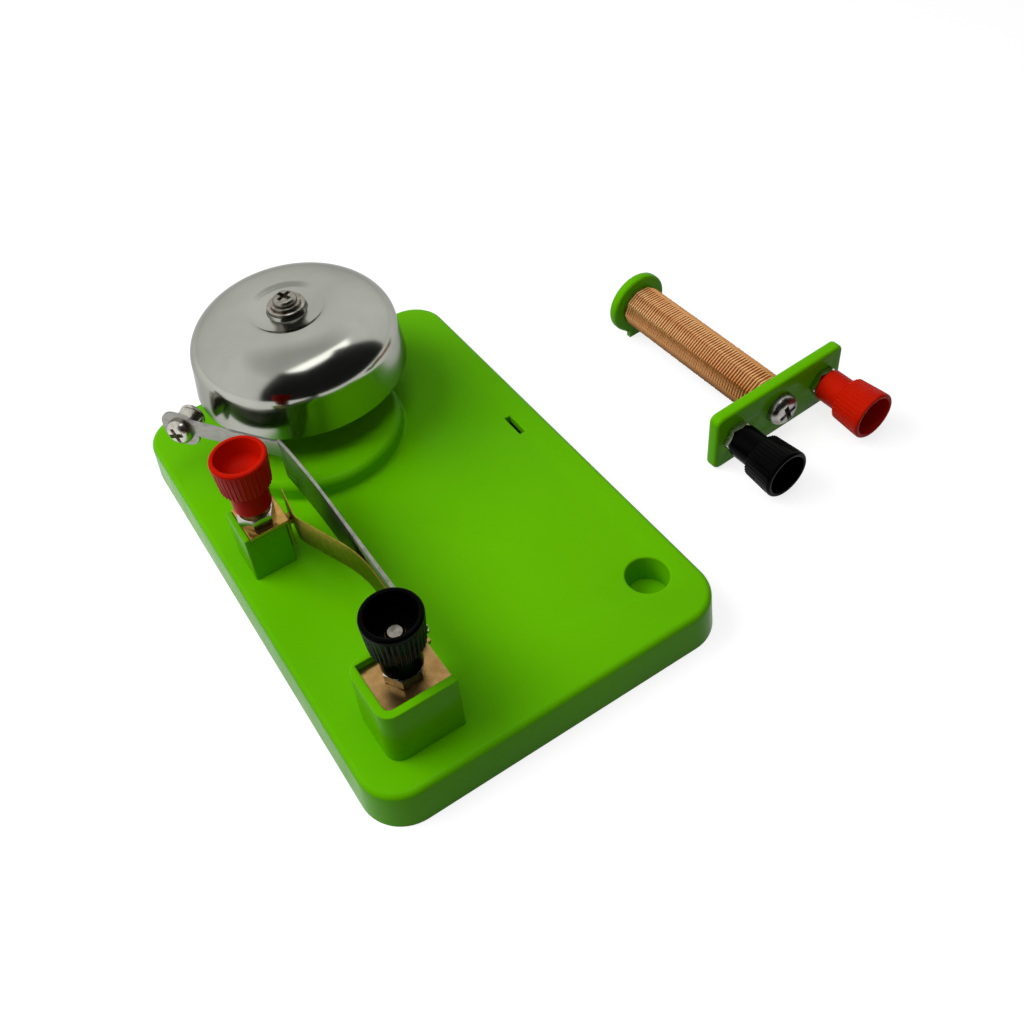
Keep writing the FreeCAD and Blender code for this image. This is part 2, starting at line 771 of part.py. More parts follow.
def contact_spring():
    face_x = size("strip_x") - size("strip_thick") / 2 - size("spring_thick") / 2
    leaf = ribbon(
        "spring_ribbon",
        [
            (face_x, size("strip_start_y")),
            (face_x, size("spring_leave_y")),
            (size("spring_bend_x"), size("spring_bend_y")),
            (size("spring_end_x"), size("spring_end_y")),
        ],
        [size("spring_leave_radius"), size("spring_bend_radius")],
        size("spring_thick"), size("spring_height"), size("spring_top"),
    )
    holes = [
        cylinder(
            f"spring_hole_{end}", "clamp_rivet_radius + bush_clearance", "4 * strip_thick",
            place("strip_x - 3 * strip_thick", f"clamp_rivet_{end}", "strip_top - strip_height / 2",
                  pitch="90"),
        )
        for end in ("front", "rear")
    ]
    finish(cut("contact_spring", leaf, *holes), "contact_spring")

    # the rivet's tip all but touches the red bracket's tab while the armature rests
    run = size("spring_end_y") - size("spring_bend_y")
    share = (size("contact_y") - size("spring_bend_y")) / run
    leaf_x = size("spring_bend_x") + share * (size("spring_end_x") - size("spring_bend_x"))
    tip_x = size("red_plate_right") + size("contact_gap")
    slope = math.degrees(math.atan2(size("spring_end_x") - size("spring_bend_x"), run))
    depth = leaf_x - size("spring_thick") / 2 - tip_x + size("contact_radius") * math.sin(math.radians(slope))
    stem = doc.addObject("Part::Feature", "contact_rivet")
    foot = FreeCAD.Vector(tip_x, size("contact_y"), size("contact_z"))
    blank = Part.makeCylinder(size("contact_radius"), depth, foot, FreeCAD.Vector(1, 0, 0))
    doc.recompute()
    stem.Shape = blank.cut(leaf.Shape)
    if len(stem.Shape.Solids) > 1:
        stem.Shape = min(stem.Shape.Solids, key=lambda s: s.CenterOfMass.x)
    finish(stem, "contact_rivet")


def clamp_rivets():
    """Two rivets through the lug, the strip and the spring."""
    left = "strip_x - strip_thick / 2 - spring_thick"
    right = "strip_x + strip_thick / 2 + strip_clearance + bracket_thick + strip_clearance"
    for end in ("front", "rear"):
        level = "strip_top - strip_height / 2"
        where = place(left, f"clamp_rivet_{end}", level, pitch="90")
        shank = cylinder(f"rivet_shank_{end}", "clamp_rivet_radius", f"{right} - ({left})", where)
        near = cylinder(
            f"rivet_near_{end}", "clamp_rivet_head_radius", "clamp_rivet_head_height",
            place(f"{left} - clamp_rivet_head_height", f"clamp_rivet_{end}", level, pitch="90"),
        )
        far = cylinder(
            f"rivet_far_{end}", "clamp_rivet_head_radius", "clamp_rivet_head_height",
            place(right, f"clamp_rivet_{end}", level, pitch="90"),
        )
        finish(fuse(f"clamp_rivet_{end}_blank", shank, near, far), f"clamp_rivet_{end}")


# ---- electromagnet. Its own frame: X along the flange, Y back along the core, Z up the flange


axis_height = "flange_height / 2"
lip_foot = "(disc_radius + lip_drop - flange_height / 2)"
coil_tilt = f"atan({lip_foot} / (coil_length - disc_thick))"
coil_place = place("coil_x", "coil_y", "0", yaw="coil_yaw", roll=coil_tilt)


def bobbin():
    plate_body = doc.addObject("PartDesign::Body", "coil_flange")
    outline = rounded_sketch(
        plate_body, "flange_outline", "flange_width", "flange_height", "flange_corner",
        plane="XZ_Plane",
    )
    pad(plate_body, "flange_pad", outline, "flange_thick", Reversed=True)
    plate_body.setExpression("Placement.Base.z", cell(axis_height))
    along = place(z=axis_height, roll="-90")
    tube = cylinder("coil_tube", "tube_radius", "coil_length", along)
    disc = cylinder(
        "coil_disc", "disc_radius", "disc_thick",
        place(y="coil_length - disc_thick", z=axis_height, roll="-90"),
    )
    lip = box(
        "coil_lip", "lip_width", "lip_thick", "disc_radius + lip_drop",
        place("-lip_width / 2", "coil_length - disc_thick", f"-{lip_foot}"),
    )
    bore = cylinder("coil_bore", "core_radius + core_clearance", "coil_length", along)
    holes = [
        cylinder(
            f"coil_stud_hole_{side}", "stud_radius + bore_clearance", "2 * flange_thick",
            place(f"{sign} * coil_post_spread", "-flange_thick / 2", axis_height, roll="-90"),
        )
        for side, sign in (("left", "-1"), ("right", "1"))
    ]
    whole = fuse("bobbin_blank", plate_body, tube, disc, lip)
    finish(cut("coil_bobbin", whole, bore, *holes), "coil_bobbin", coil_place)


def core_and_winding():
    along = place(z=axis_height, roll="-90")
    shank = cylinder("core_shank", "core_radius", "coil_length + pole_length", along)
    head = cylinder(
        "core_head", "core_head_radius", "core_head_height",
        place(y="-core_head_height", z=axis_height, roll="-90"),
    )
    finish(fuse("iron_core", shank, head), "iron_core", coil_place)
    start = place(y="flange_thick + winding_clearance", z=axis_height, roll="-90")
    length = "coil_length - disc_thick - flange_thick - 2 * winding_clearance"
    outer = cylinder("winding_outer", "winding_radius", length, start)
    inner = cylinder("winding_inner", "tube_radius + winding_clearance", length, start)
    finish(cut("winding", outer, inner), "winding", coil_place)
    lead_length = "coil_post_spread - stud_head_radius - winding_radius"
    level = "flange_thick + stud_head_height / 2"
    for colour, x in (("red", "winding_radius"), ("black", "stud_head_radius - coil_post_spread")):
        where = f"{coil_place} * {place(x, level, axis_height, pitch='90')}"
        finish(cylinder(f"coil_{colour}_lead", "lead_radius", lead_length, where), f"coil_{colour}_lead")


base_plate()
terminal_block("black")
terminal_block("red")
gong_platform()
gong()
gong_fixings()
black_bracket()
red_bracket()
for colour in ("black", "red"):
    binding_post(
        f"{colour}_post",
        place(f"{colour}_post_x", f"{colour}_post_y", "base_height + block_height + bracket_thick"),
        "block_height + bracket_thick + base_roof",
        "post_nut_thick",
        f"{colour}_cap_gap",
        "red_stud_drop" if colour == "red" else "0",
    )
armature()
contact_spring()
clamp_rivets()
bobbin()
core_and_winding()
for colour, sign in (("black", "-1"), ("red", "1")):
    binding_post(
        f"coil_{colour}",
        f"{coil_place} * {place(f'{sign} * coil_post_spread', '0', axis_height, roll='90')}",
        "flange_thick",
        "coil_nut_thick",
        "coil_cap_gap",
    )

doc.recompute()
for item in doc.Objects:
    if "Invalid" in item.State or "Error" in item.State:
        raise SystemExit(f"{item.Label} failed to build: {item.State}")
for piece in nodes:
    if piece.Shape.isNull() or not piece.Shape.isValid():
        raise SystemExit(f"{piece.Label} has no valid shape")

os.makedirs("parts", exist_ok=True)
for piece in nodes:
    piece.Shape.exportStep(f"parts/{piece.Label}.step")
    solids = len(piece.Shape.Solids)
    print(f"{piece.Label}: {solids} solid(s), {piece.Shape.Volume:.1f} mm3")
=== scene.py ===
import bpy
import bmesh
import math
from mathutils import Matrix, Vector
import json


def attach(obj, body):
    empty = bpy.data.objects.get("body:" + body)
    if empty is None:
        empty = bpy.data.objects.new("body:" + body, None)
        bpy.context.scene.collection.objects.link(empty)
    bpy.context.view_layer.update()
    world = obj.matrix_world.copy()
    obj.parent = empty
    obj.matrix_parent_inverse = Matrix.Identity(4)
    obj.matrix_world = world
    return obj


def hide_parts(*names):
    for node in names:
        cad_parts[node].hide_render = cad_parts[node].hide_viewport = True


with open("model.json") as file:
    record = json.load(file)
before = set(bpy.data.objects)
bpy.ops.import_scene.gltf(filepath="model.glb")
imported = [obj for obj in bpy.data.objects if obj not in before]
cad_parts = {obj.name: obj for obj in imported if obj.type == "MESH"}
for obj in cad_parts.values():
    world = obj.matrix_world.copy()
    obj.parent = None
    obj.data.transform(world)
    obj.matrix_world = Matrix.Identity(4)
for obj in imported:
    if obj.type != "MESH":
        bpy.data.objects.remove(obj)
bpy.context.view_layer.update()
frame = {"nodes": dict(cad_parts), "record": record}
bodies = frame["record"]["behaviour"]["bodies"]
bodyOf = {node: body for body, members in bodies.items() for node in members}
slotOf = {part["node"]: part["material_slot"] for part in frame["record"]["subparts"]}
mm = 0.001
print("frame loaded,", len(frame["nodes"]), "nodes")


# small helpers

def linear(red, green, blue):
    def channel(value):
        share = value / 255
        return share / 12.92 if share <= 0.04045 else ((share + 0.055) / 1.055) ** 2.4
    return (channel(red), channel(green), channel(blue), 1)


def millimetres(*values):
    return Vector([value * mm for value in values])


def addNode(tree, kind, **inputs):
    node = tree.nodes.new(kind)
    for name, value in inputs.items():
        node.inputs[name].default_value = value
    return node


def blankMesh(name, form):
    mesh = bpy.data.meshes.new(name)
    form.to_mesh(mesh)
    form.free()
    return mesh


def showPiece(name, mesh, finish, node, *others):
    piece = bpy.data.objects.new(name, mesh)
    bpy.context.scene.collection.objects.link(piece)
    if finish:
        mesh.materials.clear()
        mesh.materials.append(finish)
    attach(piece, bodyOf[node])
    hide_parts(node, *others)
    return piece


def smoothShade(mesh, degrees=32):
    for polygon in mesh.polygons:
        polygon.use_smooth = True
    mesh.set_sharp_from_angle(angle=math.radians(degrees))


# finishes: each reads object coordinates, so it stays put on the piece

def finishStart(name, colour, roughness, metallic=0.0):
    finish = bpy.data.materials.new(name)
    finish.use_nodes = True
    tree = finish.node_tree
    shader = tree.nodes["Principled BSDF"]
    shader.inputs["Base Color"].default_value = colour
    shader.inputs["Roughness"].default_value = roughness
    shader.inputs["Metallic"].default_value = metallic
    coords = tree.nodes.new("ShaderNodeTexCoord")
    return finish, tree, shader, coords.outputs["Object"]


def noiseOn(tree, coords, scale, detail, stretch=(1, 1, 1)):
    mapping = tree.nodes.new("ShaderNodeMapping")
    mapping.inputs["Scale"].default_value = stretch
    noise = addNode(tree, "ShaderNodeTexNoise", Scale=scale, Detail=detail)
    tree.links.new(coords, mapping.inputs["Vector"])
    tree.links.new(mapping.outputs["Vector"], noise.inputs["Vector"])
    return noise.outputs["Fac"]


def ramp(tree, factor, low, high, start=0.3, end=0.7):
    blend = tree.nodes.new("ShaderNodeValToRGB")
    blend.color_ramp.elements[0].position = start
    blend.color_ramp.elements[1].position = end
    blend.color_ramp.elements[0].color = low
    blend.color_ramp.elements[1].color = high
    tree.links.new(factor, blend.inputs["Fac"])
    return blend.outputs["Color"]


def spread(tree, factor, low, high, start=0.3, end=0.7):
    span = addNode(tree, "ShaderNodeMapRange", **{
        "From Min": start, "From Max": end, "To Min": low, "To Max": high})
    tree.links.new(factor, span.inputs["Value"])
    return span.outputs["Result"]


def bumpOn(tree, shader, height, distance, strength):
    bump = addNode(tree, "ShaderNodeBump", Strength=strength, Distance=distance)
    tree.links.new(height, bump.inputs["Height"])
    tree.links.new(bump.outputs["Normal"], shader.inputs["Normal"])


mouldedPlastic = {
    "greenTray": {"dark": (88, 170, 0), "light": (102, 187, 0), "shine": 0.035,
                  "roughLow": 0.20, "roughHigh": 0.30},
    "redCap": {"dark": (176, 16, 1), "light": (196, 26, 3), "shine": 0.035,
               "roughLow": 0.30, "roughHigh": 0.42},
    "blackCap": {"dark": (1, 1, 1), "light": (3, 4, 3), "shine": 0.025,
                 "roughLow": 0.14, "roughHigh": 0.24},
}
plasticGrain = {"rough": 0.25, "cloud": 14, "handling": 160, "pores": 900, "poreDepth": 0.00002,
                "poreStrength": 0.3}


def plasticFinish(name):
    tones = mouldedPlastic[name]
    finish, tree, shader, coords = finishStart(name, linear(*tones["light"]), plasticGrain["rough"])
    cloud = noiseOn(tree, coords, plasticGrain["cloud"], 2)
    tree.links.new(ramp(tree, cloud, linear(*tones["dark"]), linear(*tones["light"])),
                   shader.inputs["Base Color"])
    handling = noiseOn(tree, coords, plasticGrain["handling"], 6)
    tree.links.new(spread(tree, handling, tones["roughLow"], tones["roughHigh"]),
                   shader.inputs["Roughness"])
    pores = noiseOn(tree, coords, plasticGrain["pores"], 2)
    bumpOn(tree, shader, pores, plasticGrain["poreDepth"], plasticGrain["poreStrength"])
    shader.inputs["Specular IOR Level"].default_value = tones["shine"]
    return finish


# copperWire turns its grain and painted sheen streaks back by the coil's own angle, and carries painted
# shade: it darkens from "above" down to "below" in metres
metalTones = {
    "gongChrome": {"dark": (160, 161, 152), "light": (174, 175, 166), "roughLow": 0.13, "roughHigh": 0.19,
                   "grainAndSheenStreaks": (1, 1, 1), "grainAndSheenScale": 60, "scratch": 0.000004},
    "nickel": {"dark": (178, 174, 163), "light": (216, 212, 202), "roughLow": 0.16, "roughHigh": 0.30,
               "grainAndSheenStreaks": (1, 1, 1), "grainAndSheenScale": 500, "scratch": 0.00002},
    "darkNickel": {"dark": (124, 120, 110), "light": (176, 171, 160), "roughLow": 0.18, "roughHigh": 0.34,
                   "grainAndSheenStreaks": (1, 1, 1), "grainAndSheenScale": 700, "scratch": 0.00003},
    "oldBrass": {"dark": (138, 122, 44), "light": (168, 150, 66), "roughLow": 0.28, "roughHigh": 0.40,
                 "grainAndSheenStreaks": (1, 1, 1), "grainAndSheenScale": 900, "scratch": 0.000003},
    "brass": {"dark": (176, 138, 70), "light": (194, 156, 88), "roughLow": 0.18, "roughHigh": 0.28,
              "grainAndSheenStreaks": (1, 1, 1), "grainAndSheenScale": 900, "scratch": 0.000003},
    "bronze": {"dark": (164, 128, 76), "light": (188, 152, 98), "roughLow": 0.20, "roughHigh": 0.32,
               "grainAndSheenStreaks": (1, 1, 1), "grainAndSheenScale": 500, "scratch": 0.000005},
    "springSteel": {"dark": (128, 128, 122), "light": (172, 171, 164), "roughLow": 0.22, "roughHigh": 0.36,
                    "grainAndSheenStreaks": (1, 1, 14), "grainAndSheenScale": 420, "scratch": 0.00001},
    "coreIron": {"dark": (128, 126, 120), "light": (186, 184, 178), "roughLow": 0.24, "roughHigh": 0.42,
                 "grainAndSheenStreaks": (1, 1, 1), "grainAndSheenScale": 600, "scratch": 0.00003},
    "copperWire": {"dark": (206, 126, 68), "light": (255, 202, 142), "roughLow": 0.16, "roughHigh": 0.24,
                   "grainAndSheenStreaks": (1, 0.02, 1), "grainAndSheenScale": 420, "scratch": 0.000002, "metallic": 0.8,
                   "turn": -3.4, "below": 0.0055, "above": 0.0135, "shade": 0.10,
                   "edgeTint": (0.30, 0.17, 0.08, 1)},
}
metalWear = {"rough": 0.2, "grainAndSheenDetail": 4, "scale": 90, "detail": 5, "scratchStrength": 0.6,
             "edgeTint": (0.55, 0.55, 0.55, 1)}


# painted shade: scales the colour down towards the bottom of the piece, from full at above to shade at below,
# in metres
def paintedShadeBelow(tree, coords, tint, below, above, shade):
    parts = tree.nodes.new("ShaderNodeSeparateXYZ")
    tree.links.new(coords, parts.inputs[0])
    level = spread(tree, parts.outputs["Z"], shade, 1.0, below, above)
    product = tree.nodes.new("ShaderNodeVectorMath")
    product.operation = "SCALE"
    tree.links.new(tint, product.inputs[0])
    tree.links.new(level, product.inputs["Scale"])
    return product.outputs[0]


def metalFinish(name):
    tones = metalTones[name]
    finish, tree, shader, coords = finishStart(name, linear(*tones["light"]), metalWear["rough"],
                                               tones.get("metallic", 1.0))
    if "turn" in tones:
        lengthwise = tree.nodes.new("ShaderNodeMapping")
        lengthwise.inputs["Rotation"].default_value = (0, 0, math.radians(tones["turn"]))
        tree.links.new(coords, lengthwise.inputs["Vector"])
        coords = lengthwise.outputs["Vector"]
    # for copperWire this noise, stretched along the wire, paints sheen: bright and dark streaks standing in
    # for the highlights of the winding's flats; for the other metals it is grain
    grainAndSheenStreaks = noiseOn(tree, coords, tones["grainAndSheenScale"], metalWear["grainAndSheenDetail"], tones["grainAndSheenStreaks"])
    tint = ramp(tree, grainAndSheenStreaks, linear(*tones["dark"]), linear(*tones["light"]))
    # painted shade on the copper winding's underside
    if "shade" in tones:
        tint = paintedShadeBelow(tree, coords, tint, tones["below"], tones["above"], tones["shade"])
    tree.links.new(tint, shader.inputs["Base Color"])
    wear = noiseOn(tree, coords, metalWear["scale"], metalWear["detail"])
    tree.links.new(spread(tree, wear, tones["roughLow"], tones["roughHigh"]),
                   shader.inputs["Roughness"])
    bumpOn(tree, shader, grainAndSheenStreaks, tones["scratch"], metalWear["scratchStrength"])
    shader.inputs["Specular Tint"].default_value = tones.get("edgeTint", metalWear["edgeTint"])
    return finish


finishes = {name: plasticFinish(name) for name in mouldedPlastic}
finishes.update({name: metalFinish(name) for name in metalTones})
slotFinish = {
    "green_abs": "greenTray", "red_cap": "redCap", "black_cap": "blackCap", "gong_chrome": "gongChrome",
    "nickel": "nickel", "brass": "brass", "bronze": "bronze", "spring_steel": "springSteel",
    "core_iron": "coreIron", "copper_wire": "copperWire",
}
# pieces with another finish than their slot's
ownFinish = {"contact_spring": "oldBrass", "contact_rivet": "oldBrass", "black_post_stud": "darkNickel",
             "gong_screw": "darkNickel", "gong_washer": "darkNickel"}
finishFor = {name: finishes[ownFinish.get(name, slotFinish[slotOf[name]])] for name in frame["nodes"]}
for name, node in frame["nodes"].items():
    node.data.materials.clear()
    node.data.materials.append(finishFor[name])
print("finishes ready,", len(finishes))


# pieces kept from the solids, with their edges eased by these widths in millimetres

easedEdges = {
    "black_bracket": 0.12, "red_bracket": 0.12, "armature_strip": 0.10, "contact_spring": 0.05,
    "contact_rivet": 0.10, "clamp_rivet_front": 0.35, "clamp_rivet_rear": 0.35,
}
# mergeGap is in metres, the angles in degrees
easing = {"mergeGap": 0.000002, "flatAngle": 0.6, "sharpFrom": 38, "steps": 4, "smoothUpTo": 30}


def heldObject(name, mesh):
    held = bpy.data.objects.new(name, mesh)
    bpy.context.scene.collection.objects.link(held)
    return held


def settled(held):
    plain = bpy.data.meshes.new_from_object(held.evaluated_get(bpy.context.evaluated_depsgraph_get()))
    bpy.data.objects.remove(held)
    return plain


def cleanForm(mesh):
    form = bmesh.new()
    form.from_mesh(mesh)
    bmesh.ops.remove_doubles(form, verts=form.verts, dist=easing["mergeGap"])
    bmesh.ops.dissolve_limit(form, angle_limit=math.radians(easing["flatAngle"]), verts=form.verts,
                             edges=form.edges)
    return form


def joinedOrCut(name, mesh, others, operation):
    held = heldObject(name, mesh)
    tools = [heldObject(name + "Tool", other) for other in others]
    for tool in tools:
        step = held.modifiers.new("step", "BOOLEAN")
        step.object = tool
        step.operation = operation
        step.solver = "EXACT"
        step.use_self = True
    plain = settled(held)
    for tool in tools:
        bpy.data.objects.remove(tool)
    return plain


# widthAt gives the width wanted at a point, and an edge takes the smaller one of its two ends
def eased(name, mesh, widthAt, widest):
    form = cleanForm(mesh)
    weights = form.edges.layers.float.new("bevel_weight_edge")
    for edge in form.edges:
        if edge.is_convex and edge.calc_face_angle(0) > math.radians(easing["sharpFrom"]):
            edge[weights] = min(widthAt(vert.co / mm) for vert in edge.verts) / widest
    held = heldObject(name, blankMesh(name, form))
    bevel = held.modifiers.new("ease", "BEVEL")
    bevel.width = widest * mm
    bevel.segments = easing["steps"]
    bevel.limit_method = "WEIGHT"
    bevel.use_clamp_overlap = False
    plain = settled(held)
    smoothShade(plain, easing["smoothUpTo"])
    return plain


for nodeName, width in easedEdges.items():
    showPiece(nodeName + "_shape", eased(nodeName + "_eased", frame["nodes"][nodeName].data,
                                         lambda point: width, width),
              finishFor[nodeName], nodeName)
print("eased pieces ready,", len(easedEdges))


# turned pieces: a profile is a list of radius and height, and one that ends where it starts is closed

def turned(name, profile, steps, place=None):
    form = bmesh.new()
    rings = []
    for radius, height in profile:
        if radius < 1e-6:
            rings.append([form.verts.new((0, 0, height * mm))])
            continue
        rings.append([form.verts.new((radius * mm * math.cos(2 * math.pi * step / steps),
                                      radius * mm * math.sin(2 * math.pi * step / steps),
                                      height * mm)) for step in range(steps)])
    for lower, upper in zip(rings, rings[1:]):
        for step in range(steps):
            after = (step + 1) % steps
            corners = [lower[step % len(lower)], lower[after % len(lower)],
                       upper[after % len(upper)], upper[step % len(upper)]]
            corners = list(dict.fromkeys(corners))
            if len(corners) > 2:
                form.faces.new(corners)
    if len(rings[0]) > 1 and profile[0] == profile[-1]:
        bmesh.ops.remove_doubles(form, verts=form.verts, dist=1e-7)
    bmesh.ops.recalc_face_normals(form, faces=form.faces)
    if place:
        bmesh.ops.transform(form, matrix=place, verts=form.verts)
    mesh = blankMesh(name, form)
    smoothShade(mesh)
    return mesh


def arcPoints(centre, radiusAcross, radiusUp, start, end, count):
    points = []
    for step in range(count + 1):
        angle = math.radians(start + (end - start) * step / count)
        points.append((centre[0] + radiusAcross * math.cos(angle),
                       centre[1] + radiusUp * math.sin(angle)))
    return points


gongSizes = {"x": -2.45, "y": 48.2, "rimHeight": 25.0, "rim": 28.2, "skirt": 27.3, "skirtHeight": 9.7,
             "flat": 11.6, "height": 20.2, "wall": 1.0, "bore": 2.2, "hub": 5.0, "hubSlope": 0.4,
             "hubDrop": 0.02, "ringInner": 9.0, "ringOuter": 11.5, "ringDepth": 0.8, "ringWall": 0.8,
             "lipInset": 0.15, "lipLow": 0.05, "lipHigh": 0.3}
# the slope into the dished ring, as shares of the ring's width and depth
ringSlope = ((0, 0), (0.15, 0.02), (0.3, 0.09), (0.45, 0.22), (0.6, 0.42), (0.75, 0.65), (0.88, 0.86), (1, 1))


def makeGong():
    gong = gongSizes
    wall = gong["wall"]
    shoulder = (gong["flat"], gong["skirtHeight"])
    rise = gong["height"] - gong["skirtHeight"]
    run = gong["skirt"] - gong["flat"]
    lipMiddle = (gong["rim"] - wall / 2, 0.0)
    outside = [lipMiddle, (gong["rim"] - gong["lipInset"], gong["lipLow"]), (gong["rim"], gong["lipHigh"])]
    outside += [(gong["rim"] + (gong["skirt"] - gong["rim"]) * share, gong["skirtHeight"] * share)
                for share in (0.3, 0.7)]
    dome = arcPoints(shoulder, run, rise, 0, 90, 28)
    ringWidth = gong["ringOuter"] - gong["ringInner"]
    ringFloor = gong["height"] - gong["ringDepth"]
    hubTop = gong["height"] - gong["hubDrop"]
    top = [(gong["ringOuter"] - ringWidth * across, gong["height"] - gong["ringDepth"] * down)
           for across, down in ringSlope]
    top += [(gong["hub"] + gong["hubSlope"], ringFloor), (gong["hub"], hubTop), (gong["bore"], hubTop)]
    under = [(gong["bore"], ringFloor - gong["ringWall"]), (gong["ringInner"], ringFloor - gong["ringWall"])]
    inside = arcPoints(shoulder, run - wall, rise - wall, 90, 0, 20)
    innerRim = gong["rim"] - wall
    foot = [(innerRim, gong["lipHigh"]), (innerRim + gong["lipInset"], gong["lipLow"]), lipMiddle]
    place = Matrix.Translation(millimetres(gong["x"], gong["y"], gong["rimHeight"]))
    return turned("gong_shell", outside + dome + top + under + inside + foot, 160, place)


showPiece("gong_shell", makeGong(), finishes["gongChrome"], "gong")
print("gong ready")


# the tray and its two blocks are one moulding, with the turned platform let into its top

postPlaces = {"black_post": (-27.3, -51.5), "red_post": (-34.6, 6.2)}
traySizes = {"edge": 0.5, "rimEdge": 0.3, "rimFrom": 24.8, "blockTop": 24.7, "plainBelow": 9.5,
             "studReach": 3.0}
platformSizes = {"x": -7.0, "y": 37.2, "sunk": 10.2, "floor": 10.8, "foot": 25.0, "footLap": 0.05,
                 "cove": 0.9, "wallTop": 23.95, "edge": 2.2, "top": 16.1}
pillarSizes = {"foot": 6.5, "head": 4.6, "low": 15.6, "high": 43.2}


# nothing is eased low on the tray or round the studs, and the thin rims of the blocks get less
def trayEdge(point):
    toStud = min(math.dist(point.xy, place) for place in postPlaces.values())
    if point.z < traySizes["plainBelow"] or toStud < traySizes["studReach"]:
        return 0
    return traySizes["rimEdge" if point.z > traySizes["rimFrom"] else "edge"]


def makePlatform():
    platform = platformSizes
    cove, edge = platform["cove"], platform["edge"]
    profile = [(0, platform["sunk"]), (platform["foot"] - cove, platform["sunk"]),
               (platform["foot"], platform["floor"] - platform["footLap"])]
    profile += arcPoints((platform["foot"], platform["floor"] + cove), cove, cove, 270, 180, 6)
    profile += arcPoints((platform["wallTop"] - edge, platform["top"] - edge), edge, edge, 0, 90, 10)
    profile += [(0, platform["top"])]
    return turned("platform", profile, 160, Matrix.Translation(millimetres(platform["x"], platform["y"], 0)))


def makePillar():
    pillar = pillarSizes
    profile = [(0, pillar["low"]), (pillar["foot"], pillar["low"]), (pillar["head"], pillar["high"]),
               (0, pillar["high"])]
    return turned("pillar", profile, 72, Matrix.Translation(millimetres(gongSizes["x"], gongSizes["y"], 0)))


trayParts = ("base_plate", "black_block", "red_block")
trayForms = [blankMesh(nodeName + "_form", cleanForm(frame["nodes"][nodeName].data))
             for nodeName in trayParts]
trayMesh = eased("tray_eased", joinedOrCut("tray", trayForms[0], trayForms[1:], "UNION"), trayEdge,
                 traySizes["edge"])
showPiece("tray_shape", trayMesh, finishes["greenTray"], *trayParts)
showPiece("platform_shape", makePlatform(), finishes["greenTray"], "gong_platform")
showPiece("pillar_shape", makePillar(), finishes["greenTray"], "gong_platform")
print("tray ready,", len(trayMesh.polygons), "faces")


# screws, nuts and washers

coilStand = {"x": 96.4, "y": -28.45, "turn": 3.4, "axis": 8.95, "farEndRise": 1.9, "length": 54.8,
             "postAcross": {"coil_black": -15.6, "coil_red": 15.6}}
hammerArm = {"foot": (-21.4, 19.4, 26.9), "bearing": 125.2, "reach": 29.3}
lyingDown = Matrix.Rotation(math.radians(90), 4, "X")

coilPlace = (Matrix.Translation(millimetres(coilStand["x"], coilStand["y"], 0))
             @ Matrix.Rotation(math.radians(coilStand["turn"]), 4, "Z")
             @ Matrix.Rotation(math.atan(coilStand["farEndRise"] / coilStand["length"]), 4, "X"))
hammerPlace = (Matrix.Translation(millimetres(*hammerArm["foot"]))
               @ Matrix.Rotation(math.radians(hammerArm["bearing"]), 4, "Z")
               @ Matrix.Translation(millimetres(hammerArm["reach"], 0, 0)) @ lyingDown)
postSeats = {name: Matrix.Translation(millimetres(*place, traySizes["blockTop"]))
             for name, place in postPlaces.items()}
for name, across in coilStand["postAcross"].items():
    postSeats[name] = coilPlace @ Matrix.Translation(millimetres(across, 0, coilStand["axis"])) @ lyingDown


bobbinSizes = {"edge": 0.9, "lipTop": 0.8, "disc": 54.0}


# the plug-in lip keeps its sharp edges
def bobbinEdge(point):
    along = coilPlace.inverted() @ (point * mm) / mm
    onLip = along.y > bobbinSizes["disc"] and along.z < bobbinSizes["lipTop"]
    return 0 if onLip else bobbinSizes["edge"]


showPiece("coil_bobbin_shape", eased("bobbin_eased", frame["nodes"]["coil_bobbin"].data, bobbinEdge,
                                      bobbinSizes["edge"]), finishes["greenTray"], "coil_bobbin")
print("bobbin ready")

nutSizes = {"flat": 8.0, "bore": 2.05, "turn": 30.0, "faceInset": 0.12, "slope": 30.0,
            "thick": {"base": 2.8, "coil": 1.8}}


def hexNut(name, thick, place):
    form = bmesh.new()
    steps = 72
    half = nutSizes["flat"] / 2
    faceRadius = half - nutSizes["faceInset"]
    slope = math.tan(math.radians(nutSizes["slope"]))
    loops = []
    for level, kind in ((0, "bore"), (0, "face"), (0, "rim"),
                        (thick, "rim"), (thick, "face"), (thick, "bore")):
        ring = []
        for step in range(steps):
            angle = 360 * step / steps
            corner = half / math.cos(math.radians((angle - nutSizes["turn"] + 30) % 60 - 30))
            radius = {"bore": nutSizes["bore"], "face": faceRadius, "rim": corner}[kind]
            drop = (corner - faceRadius) * slope if kind == "rim" else 0
            height = level + drop if level == 0 else level - drop
            ring.append(form.verts.new((radius * mm * math.cos(math.radians(angle)),
                                        radius * mm * math.sin(math.radians(angle)), height * mm)))
        loops.append(ring)
    for lower, upper in zip(loops, loops[1:] + loops[:1]):
        for step in range(steps):
            after = (step + 1) % steps
            form.faces.new((lower[step], lower[after], upper[after], upper[step]))
    bmesh.ops.recalc_face_normals(form, faces=form.faces)
    bmesh.ops.transform(form, matrix=place, verts=form.verts)
    mesh = blankMesh(name, form)
    smoothShade(mesh, 24)
    return mesh


crossCut = {"turn": 20, "floorReach": 0.6}


